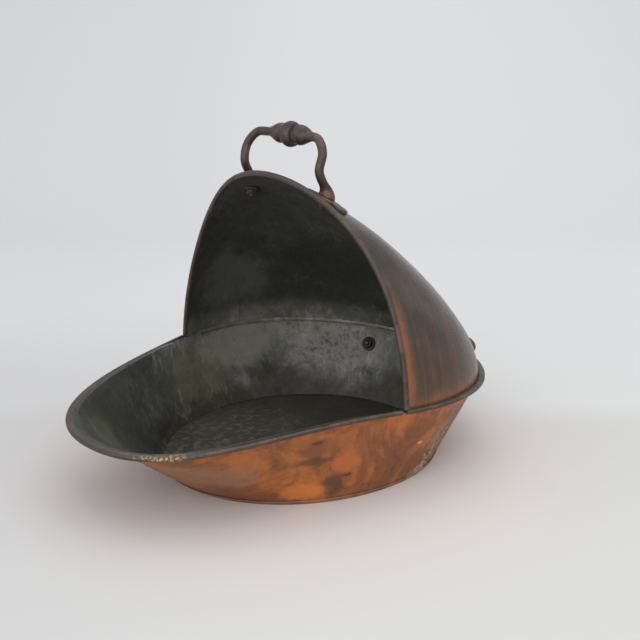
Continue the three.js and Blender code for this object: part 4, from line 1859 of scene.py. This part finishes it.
@dataclass
class Fixing:
    """One of the four places where a handle is bolted to the sheet.

    Attributes:
        side: -1 on the left and 1 on the right.
        surface: Gives the sheet's point and normal at two coordinates round the handle.
        bevel: The plate's face, as shares of its outline with depths below its top.
    """

    side: int
    surface: Callable[[float, float], tuple[Array, Array]]
    sizes: Sizes = SIZES
    bevel: tuple[Span, ...] = ((1, 1.0), (0.985, 0.4), (0.95, 0.1), (0.86, 0), (0.4, 0), (0.02, 0))

    def __post_init__(self) -> None:
        """Fits a smooth patch to the sheet round the place."""
        reach = self.sizes.plate_reach + 1
        shares = np.linspace(-1, 1, 5)
        places = [(a, b) for a in shares * reach for b in shares * reach * 0.6]
        points = [self.surface(self.side * self.sizes.handle_foot + a, b)[0] for a, b in places]
        known = self.terms(np.array(places))
        self.fit = np.linalg.lstsq(known, np.array(points), rcond=None)[0]
        self.point, self.normal = self.at(np.zeros(1), np.zeros(1))
        self.point, self.normal = self.point[0], self.normal[0]
        self.washer_depth = self.stand_off()
        self.nut_depth = self.washer_depth + self.sizes.washer_thickness + self.sizes.gap

    @staticmethod
    def terms(places: Array) -> Array:
        """Powers of two coordinates up to the third.

        Args:
            places: Pairs of coordinates in millimetres.

        Returns:
            One row of ten terms for each pair.
        """
        a, b = places.T / 10
        ones = np.ones_like(a)
        return np.stack([ones, a, b, a * a, a * b, b * b, a**3, a * a * b, a * b * b, b**3], 1)

    def at(self, a: Array, b: Array) -> tuple[Array, Array]:
        """Points and normals of the patch.

        Args:
            a: Distances across the object from the stud.
            b: Distances the other way.

        Returns:
            Points and normals.
        """
        step = 0.5

        def place(x: Array, y: Array) -> Array:
            """Points of the patch."""
            return self.terms(np.stack([x, y], 1)) @ self.fit

        along = place(a + step, b) - place(a - step, b)
        across = place(a, b + step) - place(a, b - step)
        normal = unit(np.cross(along, across))
        outside = self.surface(self.side * self.sizes.handle_foot, 0)[1]
        if normal[0] @ outside < 0:
            normal = -normal
        return place(a, b), normal

    def stand_off(self) -> float:
        """How far a flat washer stands off the hollow side of the curved sheet.

        Returns:
            The depth below the sheet's outer face.
        """
        s = self.sizes
        angle = np.linspace(0, 2 * math.pi, 13)
        rim, out = self.at(s.washer_radius * np.cos(angle), s.washer_radius * np.sin(angle))
        depth = (self.point - rim + out * s.sheet) @ self.normal
        return max(depth.max(), s.sheet) + s.gap + s.facet_allowance

    def plate(self, draft: Draft) -> None:
        """Adds the plate, a round lobe between two smaller ones with softened edges.

        Args:
            draft: The mesh in the making.
        """
        s = self.sizes
        along = -s.plate_reach * np.cos(np.linspace(0, math.pi, 41))
        lobe = np.abs(along) - s.plate_reach + s.plate_lobe
        heart = np.sqrt(np.clip(s.plate_heart**2 - along**2, 0, None))
        ends = np.sqrt(np.clip(s.plate_lobe**2 - lobe**2, 0, None))
        half = np.maximum(np.maximum(heart, ends), s.plate_tip)
        x = np.concatenate([along, along[::-1]])
        y = np.concatenate([half, -half[::-1]])
        top = s.gap + s.plate_thickness
        levels = [(self.bevel[-1][0], s.gap), (1, s.gap)]
        levels += [(share, top - depth) for share, depth in self.bevel]
        rings = []
        for share, height in levels:
            point, normal = self.at(x * share, y * share)
            rings.append(point + normal * height)
        draft.tube(np.stack(rings), 0)

    def stud(self) -> tuple[Array, Array]:
        """The stud's centre line with its thread, and the radius at each place.

        Returns:
            Points and radii.
        """
        s = self.sizes
        end = self.nut_depth + s.nut_thickness + s.stud_past_nut
        root, half_pitch, groove, taper, rounding = -4.5, 0.45, 0.07, 0.8, 0.3
        thread, tip = np.arange(0, end - taper, half_pitch), [end - taper, end - rounding, end]
        depth = np.concatenate([[root], thread, tip])
        radius = s.stud_radius * (1 - groove * (np.arange(len(depth)) % 2))
        radius[-3:] = s.stud_radius * np.array([1 - groove, 0.75, 0.3])
        return self.point - self.normal * depth[:, None], radius


@dataclass
class Fixings:
    """The washers and nuts under the four studs.

    Attributes:
        places: The four fixings by name.
        sides: Faces round a washer or a nut.
        spin: How far they are turned about their studs, in radians.
    """

    materials: Materials
    places: dict[str, Fixing]
    sizes: Sizes = SIZES
    sides: int = 60
    spin: float = 0.35

    @property
    def angles(self) -> Array:
        """The directions of the sides, in radians."""
        return np.linspace(0, 2 * math.pi, self.sides, endpoint=False)

    def turned(self, name: str, radii: Array, levels: Array) -> Mesh:
        """A ring round the Z axis.

        Args:
            name: The mesh's name.
            radii: Radius at each place of the profile, or one row of them for each side.
            levels: Height at each place, in the same layout.

        Returns:
            The mesh.
        """
        angle = self.angles[:, None]
        radii, levels = (np.broadcast_to(a, (self.sides, a.shape[-1])) for a in (radii, levels))
        draft = Draft()
        ring = np.stack([radii * np.cos(angle), radii * np.sin(angle), levels], -1)
        draft.grid(ring, 0, closed=(True, True))
        return draft.mesh(name, 30, (0, 0, 0))

    def washer(self) -> Mesh:
        """Makes a flat washer with a rounded edge.

        Returns:
            The washer's mesh.
        """
        s = self.sizes
        r, t, bore = s.washer_radius, s.washer_thickness, s.stud_radius + s.gap
        soft, worn = 0.2, 0.3
        radii = np.array([bore, r - soft, r, r, r - worn, bore + soft, bore])
        levels = np.array([0, 0, worn, t - 2 * worn, t, t, t - soft])
        return self.turned("washer", radii, levels)

    def nut(self) -> Mesh:
        """Makes a six-sided nut with its corners turned off.

        Returns:
            The nut's mesh.
        """
        s = self.sizes
        flat, twelfth = s.nut_flats / 2, math.pi / 6
        corner = flat / np.cos((self.angles + twelfth) % (2 * twelfth) - twelfth)
        face_share, lead_in, lead_depth = 0.97, 0.6, 0.5
        turned, bore, t = flat * face_share, s.stud_radius + s.gap, s.nut_thickness
        fall = (corner - turned) * math.tan(math.radians(30))
        one = np.ones(self.sides)
        radii = [bore * one, turned * one, corner, corner, turned * one, (bore + lead_in) * one]
        levels = [0 * one, 0 * one, fall, t - fall, t * one, t * one]
        radii, levels = radii + [bore * one], levels + [(t - lead_depth) * one]
        return self.turned("nut", np.stack(radii, 1), np.stack(levels, 1))

    def spread(self, name: str, piece: Mesh, depths: Array) -> Object:
        """Sets copies of a piece on the studs by geometry nodes.

        Args:
            name: The object's name.
            piece: The piece's mesh, standing on the stud's axis.
            depths: How far below the sheet each copy stands.

        Returns:
            The object with all the copies.
        """
        places = list(self.places.values())
        points = np.array([p.point - p.normal * d for p, d in zip(places, depths)])
        seed = dots(f"{name}_seed", points, -np.array([p.normal for p in places]))
        sample = bpy.data.objects.new(f"{name}_sample", piece)
        recipe = Recipe(f"{name}_recipe")
        graph = recipe.graph
        taken = recipe.take("Piece", "NodeSocketObject", sample)
        spin = recipe.take("Spin", "NodeSocketFloat", self.spin)
        info = graph.add("GeometryNodeObjectInfo", {"Object": taken})
        about = graph.add("ShaderNodeCombineXYZ", {"Z": spin})
        turn = {"Rotation": recipe.align(), "Rotate By": about.outputs[0]}
        spun = graph.add("FunctionNodeRotateRotation", turn, rotation_space="LOCAL")
        copies = recipe.copies(info.outputs["Geometry"], Rotation=spun.outputs["Rotation"])
        recipe.end(copies, [self.materials["rusted"]])
        made = recipe.apply(name, seed)
        bpy.data.objects.remove(sample)
        return made

    def build(self) -> list[Object]:
        """Builds the washers and the nuts.

        Returns:
            Their objects.
        """
        made = []
        for kind, piece in (("washer", self.washer()), ("nut", self.nut())):
            depths = [getattr(p, f"{kind}_depth") for p in self.places.values()]
            nodes = [name.replace("_", f"_{kind}_") for name in self.places]
            obj = self.spread(f"{kind}s", piece, depths)
            made.append(dress(obj, "handle_iron", *nodes))
        return made


@dataclass
class Handle:
    """A cast loop handle with a turned grip, standing on two plates.

    Attributes:
        name: The name used for its pieces, as in the CAD nodes.
        fixings: Where its left and right feet are bolted.
        origin: The middle between its feet.
        away: The direction in which it stands out.
        aside: The direction to which its arms bow.
        bow: How far they bow.
        spread: How far they spread.
        shift: How far the collar sits off the middle.
    """

    name: str
    materials: Materials
    fixings: tuple[Fixing, Fixing]
    origin: Array
    away: Array
    aside: Array
    bow: float = 0
    spread: float = 0
    shift: float = 0
    sizes: Sizes = SIZES

    def path(self) -> Array:
        """The casting's centre line in its own frame.

        Returns:
            Points with x along the grip, y away from the feet and z to the bow's side.
        """
        s = self.sizes
        foot, rise = s.handle_foot, s.handle_rise
        half = np.array(
            [
                (foot, -6, 0),
                (foot, 0.12 * rise, 0.1 * self.bow),
                (foot + 0.5 * self.spread, 0.46 * rise, self.bow),
                (foot + self.spread, 0.76 * rise, 0.55 * self.bow),
                (foot - 11 + 0.8 * self.spread, 0.97 * rise, 0.1 * self.bow),
                (foot - 27, rise, 0),
                (0, rise, 0),
            ],
            float,
        )
        mirrored = half[:-1] * (-1, 1, 1)
        return catmull(np.vstack([mirrored, half[::-1]]), 420)

    def radii(self, line: Array) -> Array:
        """The casting's radius along its line.

        Args:
            line: The centre line in the handle's own frame.

        Returns:
            Radii in millimetres.
        """
        s = self.sizes
        flare = smooth(1 - line[:, 1] / s.foot_flare)
        arm = s.arm_radius + (s.foot_radius - s.arm_radius) * flare
        reach = np.abs(line[:, 0] - self.shift)
        crown = 1 - s.collar_crown * (reach / s.collar_half) ** 2
        near = smooth((reach - s.collar_half) / (s.swell_offset - s.collar_half))
        far = smooth((reach - s.swell_offset) / (s.grip_half - s.swell_offset))
        neck = s.collar_neck + (1 - s.collar_neck) * near
        swell = np.where(reach < s.swell_offset, neck, 1 - far)
        grip = s.arm_radius + (s.grip_radius - s.arm_radius) * swell
        turned = np.where(reach <= s.collar_half, s.collar_radius * crown, grip)
        high = (line[:, 1] > s.handle_rise / 2) & (reach < s.grip_half)
        return np.where(high, turned, arm)

    def seat(self, mesh: Mesh) -> None:
        """Flattens the ends of the arms on their plates.

        Args:
            mesh: The casting's mesh, which is changed in place.
        """
        co = np.zeros(len(mesh.vertices) * 3)
        mesh.vertices.foreach_get("co", co)
        co = co.reshape(-1, 3) / MM - (0, SHIFT_Y, 0)
        lift = 2 * self.sizes.gap + self.sizes.plate_thickness
        for fixing in self.fixings:
            offset = co - fixing.point
            height = offset @ fixing.normal
            radius = np.linalg.norm(offset - height[:, None] * fixing.normal, axis=1)
            low = (height < lift) & (radius > 1.3 * self.sizes.stud_radius)
            low &= radius < 2 * self.sizes.foot_radius
            rise = (lift - height) / (self.away @ fixing.normal)
            co = np.where(low[:, None], co + rise[:, None] * self.away, co)
        mesh.vertices.foreach_set("co", metres(co).reshape(-1))

    def casting(self) -> Object:
        """Builds the casting with its studs.

        Returns:
            The object.
        """
        line = self.path()
        place = self.origin + line @ np.stack([(1.0, 0, 0), self.away, self.aside])
        bars = [(place, self.radii(line))] + [fixing.stud() for fixing in self.fixings]
        sized = [(metres(path), radius * MM) for path, radius in bars]
        obj = tube(f"{self.name}_casting", sized, self.materials["iron"])
        self.seat(obj.data)
        return dress(obj, "handle_iron", f"{self.name}_handle")

    def build(self) -> list[Object]:
        """Builds the handle with its plates.

        Returns:
            Its objects.
        """
        draft = Draft()
        for fixing in self.fixings:
            fixing.plate(draft)
        mesh = draft.mesh(f"{self.name}_plates")
        mesh.materials.append(self.materials["plate_metal"])
        plates = show(mesh.name, mesh)
        nodes = [f"{self.name}_plate_{side}" for side in SIDES]
        return [self.casting(), dress(plates, "handle_iron", *nodes)]


# ---------------------------------------------------------------- studio
@dataclass(frozen=True)
class View:
    """The camera of the photograph.

    Attributes:
        place: Where it stands, in millimetres, measured from the hood's feet.
        yaw: Its turn about the vertical, in radians.
        pitch: Its tilt below level, in radians.
        focal: Its focal length in picture widths.
    """

    place: Place = (804.7, -759.3, 488.7)
    yaw: float = 0.77867
    pitch: float = 0.29369
    focal: float = 1.6401

    def make(self) -> Object:
        """Makes the scene's camera.

        Returns:
            The camera.
        """
        data = bpy.data.cameras.new("camera")
        data.sensor_width = 36
        data.lens = data.sensor_width * self.focal
        data.clip_end = 50
        camera = show("camera", data)
        camera.rotation_euler = (math.pi / 2 - self.pitch, 0, self.yaw)
        camera.location = metres(self.place)
        bpy.context.scene.camera = camera
        return camera


@dataclass(frozen=True)
class Lamp:
    """A soft square light that faces the object.

    Attributes:
        name: The light's name.
        place: Where it hangs, in metres.
        size: Its width in metres.
        power: Its power in watts.
        target: What it faces.
    """

    name: str
    place: Place
    size: float
    power: float
    target: Place = (0, 0, 0.12)

    def make(self) -> Object:
        """Makes the light.

        Returns:
            The light.
        """
        data = bpy.data.lights.new(self.name, "AREA")
        data.size = self.size
        data.energy = self.power
        obj = show(self.name, data)
        obj.location = self.place
        aim = Vector(self.target) - Vector(self.place)
        obj.rotation_euler = aim.to_track_quat("-Z", "Y").to_euler()
        return obj


@dataclass
class Studio:
    """A pale sweep, soft lights and the camera.

    Attributes:
        view: The camera.
        lamps: The lights.
        sky: The colour of the world.
        sky_strength: How bright the world is.
        floor: The colour of the paper in front.
        painted_bounce: Its colour close to the copper, a painted pink light bounced off the
            copper.
        glow: Its colour just behind the object.
        wall: Its colour far behind.
        shade: Its colour to the left.
        painted_bounce_reach: Distances from the middle in metres between which the painted bounce
            light sets in.
        glow_depth: Distances behind the middle between which the glow sets in.
        wall_depth: The same for the wall's colour.
        shade_depth: The same for the shade, which is deepest near by.
        shade_aside: Distances to the right between which the shade sets in.
        shade_weight: How strong the shade is far behind, and how much more near by.
    """

    view: View = View()
    lamps: tuple[Lamp, ...] = (
        Lamp("key", (1.5, -0.2, 1.7), 2.2, 16),
        Lamp("top", (0.0, 0.3, 2.3), 2.6, 16),
        Lamp("fill", (-0.6, -1.9, 1.4), 2.4, 14),
        Lamp("front", (0.9, -1.6, 0.6), 1.2, 8),
    )
    sky: Colour = (0.90, 0.91, 0.94)
    sky_strength: float = 0.72
    floor: Colour = srgb(203, 203, 200)
    painted_bounce: Colour = srgb(208, 202, 199)
    glow: Colour = srgb(213, 213, 212)
    wall: Colour = srgb(221, 221, 222)
    shade: Colour = srgb(186, 186, 187)
    painted_bounce_reach: Span = (0.4, 0.22)
    glow_depth: Span = (0.05, 0.15)
    wall_depth: Span = (0.2, 1.0)
    shade_depth: Span = (0.6, 0.1)
    shade_aside: Span = (0.15, -0.5)
    shade_weight: Span = (0.2, 0.45)

    def sweep(self) -> Object:
        """Makes the floor that curves up into a wall behind the object.

        Returns:
            The sweep.
        """
        width, near, far, radius, height = 8.0, -3.0, 1.1, 1.2, 4.0
        arc = [
            (far + radius * math.sin(a), radius - radius * math.cos(a))
            for a in np.linspace(0, math.pi / 2, 24)
        ]
        profile = [(near, 0.0), *arc, (far + radius, height)]
        points = [(x, y, z) for y, z in profile for x in (-width / 2, width / 2)]
        faces = [(2 * i, 2 * i + 1, 2 * i + 3, 2 * i + 2) for i in range(len(profile) - 1)]
        mesh = bpy.data.meshes.new("sweep")
        mesh.from_pydata(points, [], faces)
        mesh.transform(Matrix.Rotation(self.view.yaw, 4, "Z"))
        mesh.polygons.foreach_set("use_smooth", [True] * len(faces))
        mesh.materials.append(self.paper())
        obj = show("sweep", mesh)
        return obj

    def paper(self) -> Material:
        """Makes the sweep's pale material.

        Returns:
            The material.
        """
        material, graph, where, shader = start("paper")
        sin, cos = math.sin(self.view.yaw), math.cos(self.view.yaw)
        depth = graph.vector("DOT_PRODUCT", where, (-sin, cos, 0))
        aside = graph.vector("DOT_PRODUCT", where, (cos, sin, 0))
        reach = graph.vector("LENGTH", where)
        # Painted bounce light: the paper is tinted pink near the copper.
        near = graph.mix(graph.ramp(reach, *self.painted_bounce_reach), self.floor, self.painted_bounce)
        far = graph.mix(graph.ramp(depth, *self.wall_depth), self.glow, self.wall)
        colour = graph.mix(graph.ramp(depth, *self.glow_depth), near, far)
        least, more = self.shade_weight
        weight = graph.plus(graph.times(graph.ramp(depth, *self.shade_depth), more), least)
        dim = graph.times(graph.ramp(aside, *self.shade_aside), weight)
        graph.feed(shader.inputs["Base Color"], graph.mix(dim, colour, self.shade))
        graph.feed(shader.inputs["Roughness"], 0.9)
        return material

    def make(self) -> None:
        """Sets up the sweep, the lights, the world and the camera."""
        self.view.make()
        self.sweep()
        for lamp in self.lamps:
            lamp.make()
        world = bpy.data.worlds.new("world")
        world.use_nodes = True
        background = world.node_tree.nodes["Background"]
        background.inputs["Color"].default_value = (*self.sky, 1)
        background.inputs["Strength"].default_value = self.sky_strength
        bpy.context.scene.world = world
        bpy.context.scene.view_settings.view_transform = "Standard"


# ---------------------------------------------------------------- main
def paint_nodes(materials: Materials) -> None:
    """Gives the CAD nodes that stay in view their materials.

    Args:
        materials: The materials by name.
    """
    finish = {"lip_wire": "bead", "hood_wire": "bead", "seam_solder": "solder"}
    for name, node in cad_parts.items():
        if node.hide_render:
            continue
        node.data.materials.clear()
        node.data.materials.append(materials[finish[name]])


def make_handles(materials: Materials, places: dict[str, Fixing]) -> list[Handle]:
    """Plans the two handles.

    Args:
        materials: The materials by name.
        places: The four fixings by name.

    Returns:
        The top handle and the rear one.
    """
    s = SIZES
    lift = s.gap + s.plate_thickness
    top, rear = (tuple(places[f"{name}_{side}"] for side in SIDES) for name in ("top", "rear"))
    tilt = math.radians(s.rear_handle_tilt)
    up, ahead = np.array([0.0, 0, 1]), np.array([0.0, -1, 0])
    away = np.array([0, math.cos(tilt), math.sin(tilt)])
    aside = np.cross((1.0, 0, 0), away)
    top_middle = top[1].point * (0, 1, 1) + (0, 0, lift)
    rear_middle = rear[1].point * (0, 1, 1) + (0, lift, 0)
    bow, shift, spread = s.top_arm_bow, s.collar_shift, s.rear_arm_spread
    return [
        Handle("top", materials, top, top_middle, up, ahead, bow=bow, shift=shift),
        Handle("rear", materials, rear, rear_middle, away, aside, spread=spread),
    ]


def main() -> None:
    """Builds the object and its studio."""
    logging.basicConfig(level=logging.INFO, format="%(name)s %(message)s")
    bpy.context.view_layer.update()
    materials = {finish.name: finish.make() for finish in FINISHES}
    surfaces = {
        "top": lambda a, b: HOOD.above(a, SIZES.top_foot_y + b),
        "rear": lambda a, b: wall_at(a, SIZES.rear_foot_z + b),
    }
    places = {
        f"{name}_{side}": Fixing(turn, surface)
        for name, surface in surfaces.items()
        for side, turn in SIDES.items()
    }
    LOG.info("found the four fixings")
    parts = [Body(materials), BasePan(materials), Crust(materials), Hood(materials)]
    parts += make_handles(materials, places) + [Fixings(materials, places)]
    for part in parts:
        made = part.build()
        LOG.info("built %s", ", ".join(obj.name for obj in made))
    paint_nodes(materials)
    Studio().make()


if __name__ == "__main__":
    main()
